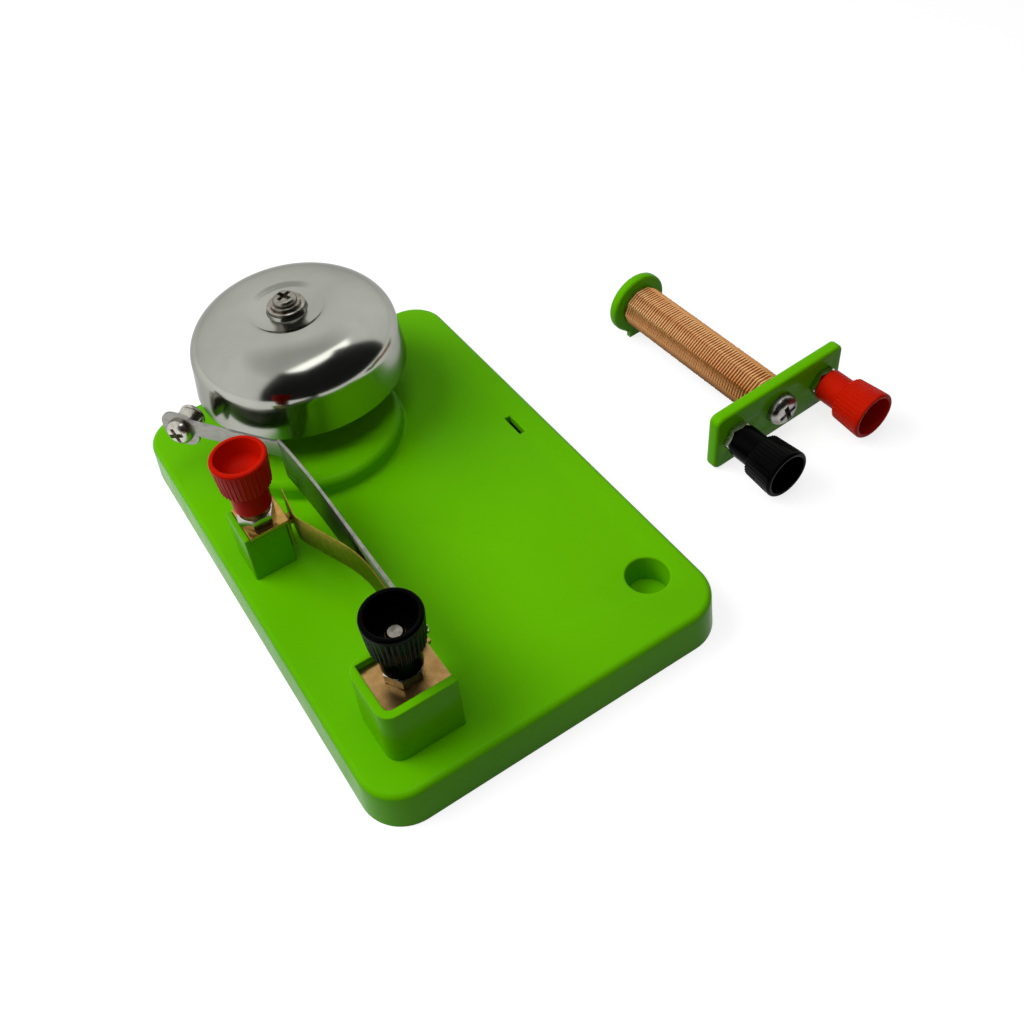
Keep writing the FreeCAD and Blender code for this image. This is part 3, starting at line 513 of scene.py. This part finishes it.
# cuts a cross, narrower at its floor, into a head whose top is at the height given
def recessed(mesh, name, cross, top, place):
    form = bmesh.new()
    for turn in (0, 90):
        bar = bmesh.ops.create_cube(form, size=1)["verts"]
        size = millimetres(2 * cross["reach"], cross["wide"], 2 * cross["depth"])
        bmesh.ops.scale(form, vec=size, verts=bar)
        for vert in bar:
            if vert.co.z < 0:
                vert.co.x *= crossCut["floorReach"]
                vert.co.y *= cross["narrow"]
        bmesh.ops.rotate(form, cent=(0, 0, 0), verts=bar,
                         matrix=Matrix.Rotation(math.radians(turn + crossCut["turn"]), 3, "Z"))
    bmesh.ops.translate(form, vec=millimetres(0, 0, top), verts=form.verts)
    bmesh.ops.transform(form, matrix=place, verts=form.verts)
    bmesh.ops.recalc_face_normals(form, faces=form.faces)
    plain = joinedOrCut(name, mesh, [blankMesh(name + "Recess", form)], "DIFFERENCE")
    smoothShade(plain, easing["smoothUpTo"])
    return plain


def panHead(screw):
    height, shank = screw["height"], screw["shank"]
    bend = height * 0.75
    crown = arcPoints((screw["radius"] - bend, height - bend), bend, bend, 0, 90, 8)
    stem = [(0, -screw["length"]), (shank, -screw["length"]), (shank, 0), (screw["radius"], 0)]
    return stem + crown + [(0, height)]


def makeScrew(name, screw, profile, steps, seat):
    return recessed(turned(name, profile, steps, seat), name, screw["cross"], screw["height"], seat)


washerSizes = {"bore": 2.2, "thick": 1.0, "rim": [(4.75, 0), (4.95, 0.2), (5.0, 0.5), (4.9, 0.8), (4.6, 1.0)]}
gongScrewSizes = {"shank": 2, "length": 15, "flange": [(3.75, 0), (3.95, 0.15), (3.95, 0.75), (3.75, 0.9)],
                  "neck": (2.9, 0.9), "crownCentre": (1.8, 1.25), "crownAcross": 1.35, "crownUp": 1.2,
                  "height": 2.45, "cross": {"depth": 1.3, "wide": 1.5, "narrow": 0.6, "reach": 2.6}}
hammerScrewSizes = {"radius": 3.55, "height": 2.5, "shank": 1.5, "length": 4.8, "behindTab": 0.4,
                    "cross": {"depth": 1.5, "wide": 1.7, "narrow": 0.5, "reach": 2.9}}
coreSizes = {"radius": 4.5, "height": 3.0, "shank": 3.5, "length": 59.1,
             "cross": {"depth": 1.9, "wide": 2.0, "narrow": 0.5, "reach": 3.5}}
# a straight barrel, a groove and a domed end that strikes
strikerOutline = [(0, 4.45), (1.55, 4.45), (1.55, 0.4), (3.1, 0.4), (3.3, 0.6), (3.3, 4.1), (3.15, 4.2),
                  (3.15, 4.35), (3.4, 4.45), (3.5, 4.6), (3.5, 5.0), (3.35, 5.35), (2.95, 5.75),
                  (2.3, 6.15), (1.4, 6.45), (0, 6.6)]


def gongScrewProfile():
    screw = gongScrewSizes
    stem = [(0, -screw["length"]), (screw["shank"], -screw["length"]), (screw["shank"], 0)]
    crown = arcPoints(screw["crownCentre"], screw["crownAcross"], screw["crownUp"], -10, 90, 8)
    return stem + screw["flange"] + [screw["neck"]] + crown + [(0, screw["height"])]


def washerProfile():
    bore = washerSizes["bore"]
    return [(bore, 0)] + washerSizes["rim"] + [(bore, washerSizes["thick"]), (bore, 0)]


gongTop = gongSizes["rimHeight"] + gongSizes["height"]
washerSeat = Matrix.Translation(millimetres(gongSizes["x"], gongSizes["y"], gongTop))
screwSeat = washerSeat @ Matrix.Translation(millimetres(0, 0, washerSizes["thick"]))
hammerSeat = (hammerPlace @ Matrix.Translation(millimetres(0, 0, -hammerScrewSizes["behindTab"]))
              @ Matrix.Rotation(math.pi, 4, "X"))
coreSeat = coilPlace @ Matrix.Translation(millimetres(0, 0, coilStand["axis"])) @ lyingDown
showPiece("gong_screw_shape", makeScrew("gongScrew", gongScrewSizes, gongScrewProfile(), 64, screwSeat),
          finishFor["gong_screw"], "gong_screw")
showPiece("gong_washer_shape", turned("gongWasher", washerProfile(), 96, washerSeat),
          finishFor["gong_washer"], "gong_washer")
showPiece("hammer_screw_shape",
          makeScrew("hammerScrew", hammerScrewSizes, panHead(hammerScrewSizes), 64, hammerSeat),
          finishes["nickel"], "hammer_screw")
showPiece("striker_shape", turned("striker", strikerOutline, 72, hammerPlace), finishes["nickel"], "striker")
for name, seat in postSeats.items():
    kind = "coil" if name.startswith("coil") else "base"
    showPiece(name + "_nut_shape", hexNut(name + "Nut", nutSizes["thick"][kind], seat),
              finishes["nickel"], name + "_nut")
showPiece("iron_core_shape", makeScrew("ironCore", coreSizes, panHead(coreSizes), 72, coreSeat),
          finishes["coreIron"], "iron_core")
print("screws and nuts ready")


# caps: a turned body with a ring of ribs

capSizes = {"length": 15.8, "skirt": 4.58, "skirtLength": 6.2, "skirtEdge": 0.25, "flare": 0.2,
            "flareRise": 0.1, "shoulder": 0.8, "foot": 6.1, "footSlope": 0.35, "footEdge": 0.25, "top": 6.72,
            "wall": 1.2, "cavity": 6.2, "floor": 4.7, "floorThick": 0.8, "bowl": 2.6, "bush": 3.25,
            "stud": 2.15, "ribCount": 36, "ribRadius": 0.34, "ribProud": 0.10, "ribSunk": 0.05,
            "rimBand": 1.3,
            "gap": {"black_post": 0.7, "red_post": 2.0, "coil_black": 0.2, "coil_red": 0.2}}
# round the rim: how far inside the cap's widest radius, or outside its mouth, and how far below its end
rimRound = ((0.02, 1.05), (0, 0.6), (0.08, 0.3), (0.28, 0.08), (0.55, 0))
mouthRound = ((0.3, 0), (0.06, 0.12), (-0.02, 0.4))
# round the cavity's floor: how far outside the floor's radius, and how far above it
floorRound = ((0.05, 0.4), (-0.3, 0.02))


def ribTree():
    tree = bpy.data.node_groups.new("ribRing", "GeometryNodeTree")
    face = tree.interface
    face.new_socket("Body", in_out="INPUT", socket_type="NodeSocketGeometry")
    for label, kind in (("Count", "NodeSocketInt"), ("Foot Radius", "NodeSocketFloat"),
                        ("Top Radius", "NodeSocketFloat"), ("Foot Height", "NodeSocketFloat"),
                        ("Top Height", "NodeSocketFloat"), ("Rib Radius", "NodeSocketFloat"),
                        ("Finish", "NodeSocketMaterial")):
        face.new_socket(label, in_out="INPUT", socket_type=kind)
    face.new_socket("Cap", in_out="OUTPUT", socket_type="NodeSocketGeometry")
    source = tree.nodes.new("NodeGroupInput")
    result = tree.nodes.new("NodeGroupOutput")
    low = tree.nodes.new("ShaderNodeCombineXYZ")
    high = tree.nodes.new("ShaderNodeCombineXYZ")
    line = tree.nodes.new("GeometryNodeCurvePrimitiveLine")
    section = tree.nodes.new("GeometryNodeCurvePrimitiveCircle")
    section.inputs["Resolution"].default_value = 10
    rod = tree.nodes.new("GeometryNodeCurveToMesh")
    rod.inputs["Fill Caps"].default_value = True
    spots = tree.nodes.new("GeometryNodeMeshLine")
    spots.inputs["Offset"].default_value = (0, 0, 0)
    number = tree.nodes.new("GeometryNodeInputIndex")
    turns = tree.nodes.new("ShaderNodeMath")
    turns.operation = "DIVIDE"
    angle = tree.nodes.new("ShaderNodeMath")
    angle.operation = "MULTIPLY"
    angle.inputs[1].default_value = 2 * math.pi
    spin = tree.nodes.new("ShaderNodeCombineXYZ")
    euler = tree.nodes.new("FunctionNodeEulerToRotation")
    copies = tree.nodes.new("GeometryNodeInstanceOnPoints")
    real = tree.nodes.new("GeometryNodeRealizeInstances")
    shade = tree.nodes.new("GeometryNodeSetShadeSmooth")
    join = tree.nodes.new("GeometryNodeJoinGeometry")
    coat = tree.nodes.new("GeometryNodeSetMaterial")
    link = tree.links.new
    link(source.outputs["Foot Radius"], low.inputs["X"])
    link(source.outputs["Foot Height"], low.inputs["Z"])
    link(source.outputs["Top Radius"], high.inputs["X"])
    link(source.outputs["Top Height"], high.inputs["Z"])
    link(low.outputs[0], line.inputs["Start"])
    link(high.outputs[0], line.inputs["End"])
    link(source.outputs["Rib Radius"], section.inputs["Radius"])
    link(line.outputs[0], rod.inputs["Curve"])
    link(section.outputs[0], rod.inputs["Profile Curve"])
    link(source.outputs["Count"], spots.inputs["Count"])
    link(number.outputs[0], turns.inputs[0])
    link(source.outputs["Count"], turns.inputs[1])
    link(turns.outputs[0], angle.inputs[0])
    link(angle.outputs[0], spin.inputs["Z"])
    link(spin.outputs[0], euler.inputs[0])
    link(spots.outputs[0], copies.inputs["Points"])
    link(rod.outputs[0], copies.inputs["Instance"])
    link(euler.outputs[0], copies.inputs["Rotation"])
    link(copies.outputs[0], shade.inputs["Geometry"])
    link(shade.outputs[0], join.inputs[0])
    link(source.outputs["Body"], join.inputs[0])
    link(join.outputs[0], real.inputs[0])
    link(real.outputs[0], coat.inputs["Geometry"])
    link(source.outputs["Finish"], coat.inputs["Material"])
    link(coat.outputs[0], result.inputs[0])
    return tree


def setInputs(modifier, values):
    for item in modifier.node_group.interface.items_tree:
        if item.item_type == "SOCKET" and item.in_out == "INPUT" and item.name in values:
            modifier[item.identifier] = values[item.name]


def grownMesh(name, mesh, tree, values):
    held = heldObject(name, mesh)
    modifier = held.modifiers.new("grow", "NODES")
    modifier.node_group = tree
    setInputs(modifier, values)
    return settled(held)


def capBody(lift, pierced):
    cap = capSizes
    shoulder = lift + cap["skirtLength"]
    knurl = shoulder + cap["shoulder"]
    end = lift + cap["length"]
    floor = end - cap["cavity"]
    foot = cap["foot"] - cap["ribProud"]
    top = cap["top"] - cap["ribProud"]
    mouth = cap["top"] - cap["wall"]
    skirt = [(cap["bush"], lift), (cap["skirt"] - cap["skirtEdge"], lift),
             (cap["skirt"], lift + cap["skirtEdge"]), (cap["skirt"], shoulder - cap["flareRise"]),
             (cap["skirt"] + cap["flare"], shoulder)]
    side = [(foot - cap["footSlope"], knurl - cap["footEdge"]), (foot, knurl + cap["footEdge"]),
            (top, end - cap["rimBand"])]
    rim = [(cap["top"] - inward, end - down) for inward, down in rimRound]
    rim += [(mouth + outward, end - down) for outward, down in mouthRound]
    if pierced:
        hole = cap["stud"]
        cavity = [(cap["floor"] + outward, floor + up) for outward, up in floorRound]
    else:
        hole = 0
        turns = [math.pi / 20 * step for step in range(10)]
        cavity = [(cap["floor"] * math.cos(turn), floor + cap["bowl"] * (1 - math.sin(turn)))
                  for turn in turns]
    below = floor - cap["floorThick"]
    inside = [(hole, floor), (hole, below), (cap["bush"], below), (cap["bush"], lift)]
    return skirt + side + rim + cavity + inside


ribRing = ribTree()
for name, seat in postSeats.items():
    lift = nutSizes["thick"]["coil" if name.startswith("coil") else "base"] + capSizes["gap"][name]
    knurl = lift + capSizes["skirtLength"] + capSizes["shoulder"]
    sink = capSizes["ribRadius"]
    body = turned(name + "CapBody", capBody(lift, name != "red_post"), 96)
    mesh = grownMesh(name + "Cap", body, ribRing, {
        "Count": capSizes["ribCount"], "Foot Radius": (capSizes["foot"] - sink) * mm,
        "Top Radius": (capSizes["top"] - sink) * mm, "Foot Height": (knurl + capSizes["ribSunk"]) * mm,
        "Top Height": (lift + capSizes["length"] - capSizes["rimBand"]) * mm, "Rib Radius": sink * mm,
        "Finish": finishes["redCap" if "red" in name else "blackCap"]})
    mesh.transform(seat)
    showPiece(name + "_cap_shape", mesh, None, name + "_cap")
print("caps ready")


# winding: one wire laid round a many-sided tube

windingSizes = {"turns": 60, "sides": 10, "radius": 6.42, "bore": 4.9, "wire": 0.49, "bedded": 0.08,
                "start": 3.45, "end": 54.75, "corner": 0.6, "uneven": 0.0003, "unevenRate": 420,
                "bulge": 0.03, "bulgeRate": 900, "loose": 0.94, "sleeveGap": 0.1}


def windingTree():
    tree = bpy.data.node_groups.new("wireTurns", "GeometryNodeTree")
    face = tree.interface
    face.new_socket("Sleeve", in_out="INPUT", socket_type="NodeSocketGeometry")
    for label, kind in (("Turns", "NodeSocketFloat"), ("Sides", "NodeSocketInt"),
                        ("Radius", "NodeSocketFloat"), ("Length", "NodeSocketFloat"),
                        ("Wire Radius", "NodeSocketFloat"),
                        ("Corner Radius", "NodeSocketFloat"), ("Unevenness", "NodeSocketFloat"),
                        ("Bulge", "NodeSocketFloat"), ("Looseness", "NodeSocketFloat"),
                        ("Finish", "NodeSocketMaterial")):
        face.new_socket(label, in_out="INPUT", socket_type=kind)
    face.new_socket("Winding", in_out="OUTPUT", socket_type="NodeSocketGeometry")
    source = tree.nodes.new("NodeGroupInput")
    result = tree.nodes.new("NodeGroupOutput")
    helix = tree.nodes.new("GeometryNodeCurveSpiral")
    where = tree.nodes.new("GeometryNodeInputPosition")
    parts = tree.nodes.new("ShaderNodeSeparateXYZ")
    shift = tree.nodes.new("ShaderNodeCombineXYZ")
    move = tree.nodes.new("GeometryNodeSetPosition")
    corners = tree.nodes.new("GeometryNodeFilletCurve")
    corners.mode = "POLY"
    corners.inputs["Count"].default_value = 3
    section = tree.nodes.new("GeometryNodeCurvePrimitiveCircle")
    section.inputs["Resolution"].default_value = 8
    wire = tree.nodes.new("GeometryNodeCurveToMesh")
    wire.inputs["Fill Caps"].default_value = True
    real = tree.nodes.new("GeometryNodeRealizeInstances")
    shade = tree.nodes.new("GeometryNodeSetShadeSmooth")
    coat = tree.nodes.new("GeometryNodeSetMaterial")
    link = tree.links.new

    def worked(operation, first, second):
        step = tree.nodes.new("ShaderNodeMath")
        step.operation = operation
        link(first, step.inputs[0])
        if isinstance(second, float):
            step.inputs[1].default_value = second
        else:
            link(second, step.inputs[1])
        return step.outputs[0]

    def wander(scale, amount):
        noise = addNode(tree, "ShaderNodeTexNoise", Scale=scale, Detail=1.0)
        noise.noise_dimensions = "1D"
        link(parts.outputs["Z"], noise.inputs["W"])
        return worked("MULTIPLY", worked("SUBTRACT", noise.outputs["Fac"], 0.5), amount)

    link(source.outputs["Turns"], helix.inputs["Rotations"])
    link(source.outputs["Sides"], helix.inputs["Resolution"])
    link(source.outputs["Radius"], helix.inputs["Start Radius"])
    link(source.outputs["Radius"], helix.inputs["End Radius"])
    link(source.outputs["Length"], helix.inputs["Height"])
    link(where.outputs[0], parts.inputs[0])
    swell = wander(windingSizes["bulgeRate"], source.outputs["Bulge"])
    link(worked("MULTIPLY", parts.outputs["X"], swell), shift.inputs["X"])
    link(worked("MULTIPLY", parts.outputs["Y"], swell), shift.inputs["Y"])
    share = worked("DIVIDE", parts.outputs["Z"], source.outputs["Length"])
    opened = worked("MULTIPLY", worked("POWER", share, source.outputs["Looseness"]),
                    source.outputs["Length"])
    uneven = wander(windingSizes["unevenRate"], source.outputs["Unevenness"])
    link(worked("ADD", worked("SUBTRACT", opened, parts.outputs["Z"]), uneven), shift.inputs["Z"])
    link(helix.outputs[0], move.inputs["Geometry"])
    link(shift.outputs[0], move.inputs["Offset"])
    link(move.outputs[0], corners.inputs["Curve"])
    link(source.outputs["Corner Radius"], corners.inputs["Radius"])
    link(corners.outputs[0], wire.inputs["Curve"])
    link(source.outputs["Wire Radius"], section.inputs["Radius"])
    link(section.outputs[0], wire.inputs["Profile Curve"])
    link(wire.outputs[0], shade.inputs["Geometry"])
    link(shade.outputs[0], real.inputs[0])
    link(real.outputs[0], coat.inputs["Geometry"])
    link(source.outputs["Finish"], coat.inputs["Material"])
    link(coat.outputs[0], result.inputs[0])
    return tree


def makeWinding():
    coil = windingSizes
    length = coil["end"] - coil["start"]
    wires = grownMesh("wires", bpy.data.meshes.new("wireSeed"), windingTree(), {
        "Turns": float(coil["turns"]), "Sides": coil["sides"],
        "Radius": (coil["radius"] - coil["wire"] - coil["bedded"]) * mm,
        "Length": (length - 2 * coil["wire"]) * mm, "Wire Radius": coil["wire"] * mm,
        "Corner Radius": coil["corner"] * mm, "Unevenness": coil["uneven"], "Bulge": coil["bulge"],
        "Looseness": coil["loose"], "Finish": finishes["copperWire"]})
    outer = (coil["radius"] - coil["wire"]) * math.cos(math.pi / coil["sides"]) - coil["sleeveGap"]
    bore = coil["bore"]
    sleeve = turned("sleeve", [(bore, 0), (outer, 0), (outer, length), (bore, length), (bore, 0)], 48)
    form = bmesh.new()
    form.from_mesh(wires)
    bmesh.ops.translate(form, vec=millimetres(0, 0, coil["wire"]), verts=form.verts)
    form.from_mesh(sleeve)
    alongCoil = (coilPlace @ Matrix.Translation(millimetres(0, coil["start"], coilStand["axis"]))
                 @ Matrix.Rotation(math.radians(-90), 4, "X"))
    bmesh.ops.transform(form, matrix=alongCoil, verts=form.verts)
    return blankMesh("winding", form)


coilMesh = makeWinding()
showPiece("winding_turns", coilMesh, finishes["copperWire"], "winding")
print("winding ready,", len(coilMesh.polygons), "faces")


# stage, lamps and camera, in metres but for the cards

floorLook = {"half": 3.0, "drop": 0.0001, "grey": (0.32, 0.32, 0.32, 1), "glow": 0.80}
underTray = {"halfAcross": 0.044, "halfAlong": 0.0675, "corner": 0.006, "drop": 0.00005,
             "grey": (0.3, 0.3, 0.3, 1)}
darkCard = {"radius": 420, "low": -3, "high": 70, "from": -155, "to": -15}
greyCard = {"radius": 760, "low": 52, "high": 90, "from": -180, "to": 180,
            "paleBelow": 0.63, "greyAbove": 0.75, "grey": 0.60}
cardNet = {"centre": (0, 40, 25), "rows": 8, "columns": 24}
lamps = {
    "keyLamp": {"place": (-0.35, 0.20, 0.55), "target": (0.02, 0, 0.02), "size": (0.45, 0.45),
                "power": 3.8, "mirrored": False},
    "stripLamp": {"place": (0.03, -0.075, 0.63), "target": (0.0, 0.03, 0.03), "size": (0.70, 0.12),
                  "power": 0.55, "mirrored": True},
    "topLamp": {"place": (0.03, -0.06, 0.66), "target": (0.0, 0.03, 0.03), "size": (0.30, 0.30),
                "power": 0.5, "mirrored": False},
}
worldLight = {"onObject": 0.15, "background": 1.0}
cameraView = {"sensor": 36, "lens": 42.30, "shiftX": 0.0371, "shiftY": -0.1406, "nearest": 0.01, "place": (
    (0.84329, 0.41688, -0.33922, -0.07293),
    (-0.52783, 0.52346, -0.66887, -0.19116),
    (-0.10127, 0.74310, 0.66148, 0.23209),
    (0, 0, 0, 1))}


# 1 for rays from the camera, off metal and through glass, and 0 for the light that falls on things
def seenAsBackground(tree):
    rays = tree.nodes.new("ShaderNodeLightPath")
    total = rays.outputs["Is Camera Ray"]
    for kind in ("Is Glossy Ray", "Is Transmission Ray"):
        both = tree.nodes.new("ShaderNodeMath")
        both.operation = "ADD"
        both.use_clamp = True
        tree.links.new(total, both.inputs[0])
        tree.links.new(rays.outputs[kind], both.inputs[1])
        total = both.outputs[0]
    return total


def stagePiece(name, form, finish):
    piece = bpy.data.objects.new(name, blankMesh(name, form))
    bpy.context.scene.collection.objects.link(piece)
    piece.data.materials.append(finish)
    return piece


def makeFloor():
    form = bmesh.new()
    bmesh.ops.create_grid(form, x_segments=1, y_segments=1, size=floorLook["half"])
    bmesh.ops.translate(form, vec=(0, 0, -floorLook["drop"]), verts=form.verts)
    pale = bpy.data.materials.new("paleFloor")
    pale.use_nodes = True
    tree = pale.node_tree
    tree.nodes.clear()
    out = tree.nodes.new("ShaderNodeOutputMaterial")
    matt = addNode(tree, "ShaderNodeBsdfDiffuse", Color=floorLook["grey"])
    glow = addNode(tree, "ShaderNodeEmission", Color=(1, 1, 1, 1), Strength=floorLook["glow"])
    both = tree.nodes.new("ShaderNodeAddShader")
    pick = tree.nodes.new("ShaderNodeMixShader")
    tree.links.new(matt.outputs[0], both.inputs[0])
    tree.links.new(glow.outputs[0], both.inputs[1])
    tree.links.new(seenAsBackground(tree), pick.inputs[0])
    tree.links.new(matt.outputs[0], pick.inputs[1])
    tree.links.new(both.outputs[0], pick.inputs[2])
    tree.links.new(pick.outputs[0], out.inputs["Surface"])
    stagePiece("floor", form, pale)


# a matt patch under the hollow tray, where the floor's own glow would show through the sockets
def makeUnderTray():
    form = bmesh.new()
    bmesh.ops.create_grid(form, x_segments=1, y_segments=1, size=1.0)
    bmesh.ops.scale(form, vec=(underTray["halfAcross"], underTray["halfAlong"], 1), verts=form.verts)
    bmesh.ops.bevel(form, geom=form.verts[:], offset=underTray["corner"], segments=1, affect="VERTICES")
    bmesh.ops.translate(form, vec=(0, 0, -underTray["drop"]), verts=form.verts)
    matt = finishStart("mattFloor", underTray["grey"], 1.0)[0]
    stagePiece("floorUnderTray", form, matt)


# the grey card is white up to a height and grey above it
def greyGlow():
    glow = bpy.data.materials.new("cardGlow")
    glow.use_nodes = True
    tree = glow.node_tree
    tree.nodes.clear()
    out = tree.nodes.new("ShaderNodeOutputMaterial")
    light = addNode(tree, "ShaderNodeEmission", Color=(1, 1, 1, 1))
    coords = tree.nodes.new("ShaderNodeTexCoord")
    parts = tree.nodes.new("ShaderNodeSeparateXYZ")
    tree.links.new(coords.outputs["Object"], parts.inputs[0])
    level = spread(tree, parts.outputs["Z"], 1.0, greyCard["grey"], greyCard["paleBelow"],
                   greyCard["greyAbove"])
    tree.links.new(level, light.inputs["Strength"])
    tree.links.new(light.outputs[0], out.inputs["Surface"])
    return glow


# a card is part of a sphere that only mirrors see: its radius and centre in millimetres, its reach in degrees
def makeCard(name, span, finish):
    form = bmesh.new()
    centre = millimetres(*cardNet["centre"])
    rows = []
    for rise in range(cardNet["rows"] + 1):
        up = math.radians(span["low"] + (span["high"] - span["low"]) * rise / cardNet["rows"])
        rows.append([])
        for step in range(cardNet["columns"] + 1):
            bearing = math.radians(span["from"] + (span["to"] - span["from"]) * step / cardNet["columns"])
            outward = Vector((math.cos(up) * math.cos(bearing), math.cos(up) * math.sin(bearing),
                              math.sin(up)))
            rows[-1].append(form.verts.new(centre + outward * span["radius"] * mm))
    for lower, upper in zip(rows, rows[1:]):
        for step in range(cardNet["columns"]):
            form.faces.new((lower[step], upper[step], upper[step + 1], lower[step + 1]))
    card = stagePiece(name, form, finish)
    card.visible_camera = False
    card.visible_diffuse = False
    card.visible_shadow = False


def makeLamp(name, look):
    lamp = bpy.data.lights.new(name, "AREA")
    lamp.shape = "RECTANGLE"
    lamp.size, lamp.size_y = look["size"]
    lamp.energy = look["power"]
    holder = bpy.data.objects.new(name, lamp)
    bpy.context.scene.collection.objects.link(holder)
    holder.location = look["place"]
    downward = Vector(look["target"]) - Vector(look["place"])
    holder.rotation_euler = downward.to_track_quat("-Z", "Y").to_euler()
    holder.visible_glossy = look["mirrored"]


def makeWorld():
    world = bpy.data.worlds.new("studio")
    bpy.context.scene.world = world
    world.use_nodes = True
    tree = world.node_tree
    tree.nodes.clear()
    out = tree.nodes.new("ShaderNodeOutputWorld")
    light = addNode(tree, "ShaderNodeBackground", Color=(1, 1, 1, 1), Strength=worldLight["onObject"])
    white = addNode(tree, "ShaderNodeBackground", Color=(1, 1, 1, 1), Strength=worldLight["background"])
    pick = tree.nodes.new("ShaderNodeMixShader")
    tree.links.new(seenAsBackground(tree), pick.inputs[0])
    tree.links.new(light.outputs[0], pick.inputs[1])
    tree.links.new(white.outputs[0], pick.inputs[2])
    tree.links.new(pick.outputs[0], out.inputs["Surface"])


def makeCamera():
    lens = bpy.data.cameras.new("camera")
    lens.sensor_width = cameraView["sensor"]
    lens.lens = cameraView["lens"]
    lens.shift_x = cameraView["shiftX"]
    lens.shift_y = cameraView["shiftY"]
    lens.clip_start = cameraView["nearest"]
    camera = bpy.data.objects.new("camera", lens)
    bpy.context.scene.collection.objects.link(camera)
    camera.matrix_world = Matrix(cameraView["place"])
    bpy.context.scene.camera = camera


makeFloor()
makeUnderTray()
makeCard("darkCard", darkCard, finishStart("cardFelt", linear(38, 38, 38), 1.0)[0])
makeCard("greyCard", greyCard, greyGlow())
for name, look in lamps.items():
    makeLamp(name, look)
makeWorld()
makeCamera()
bpy.context.scene.view_settings.view_transform = "Standard"
print("studio ready")
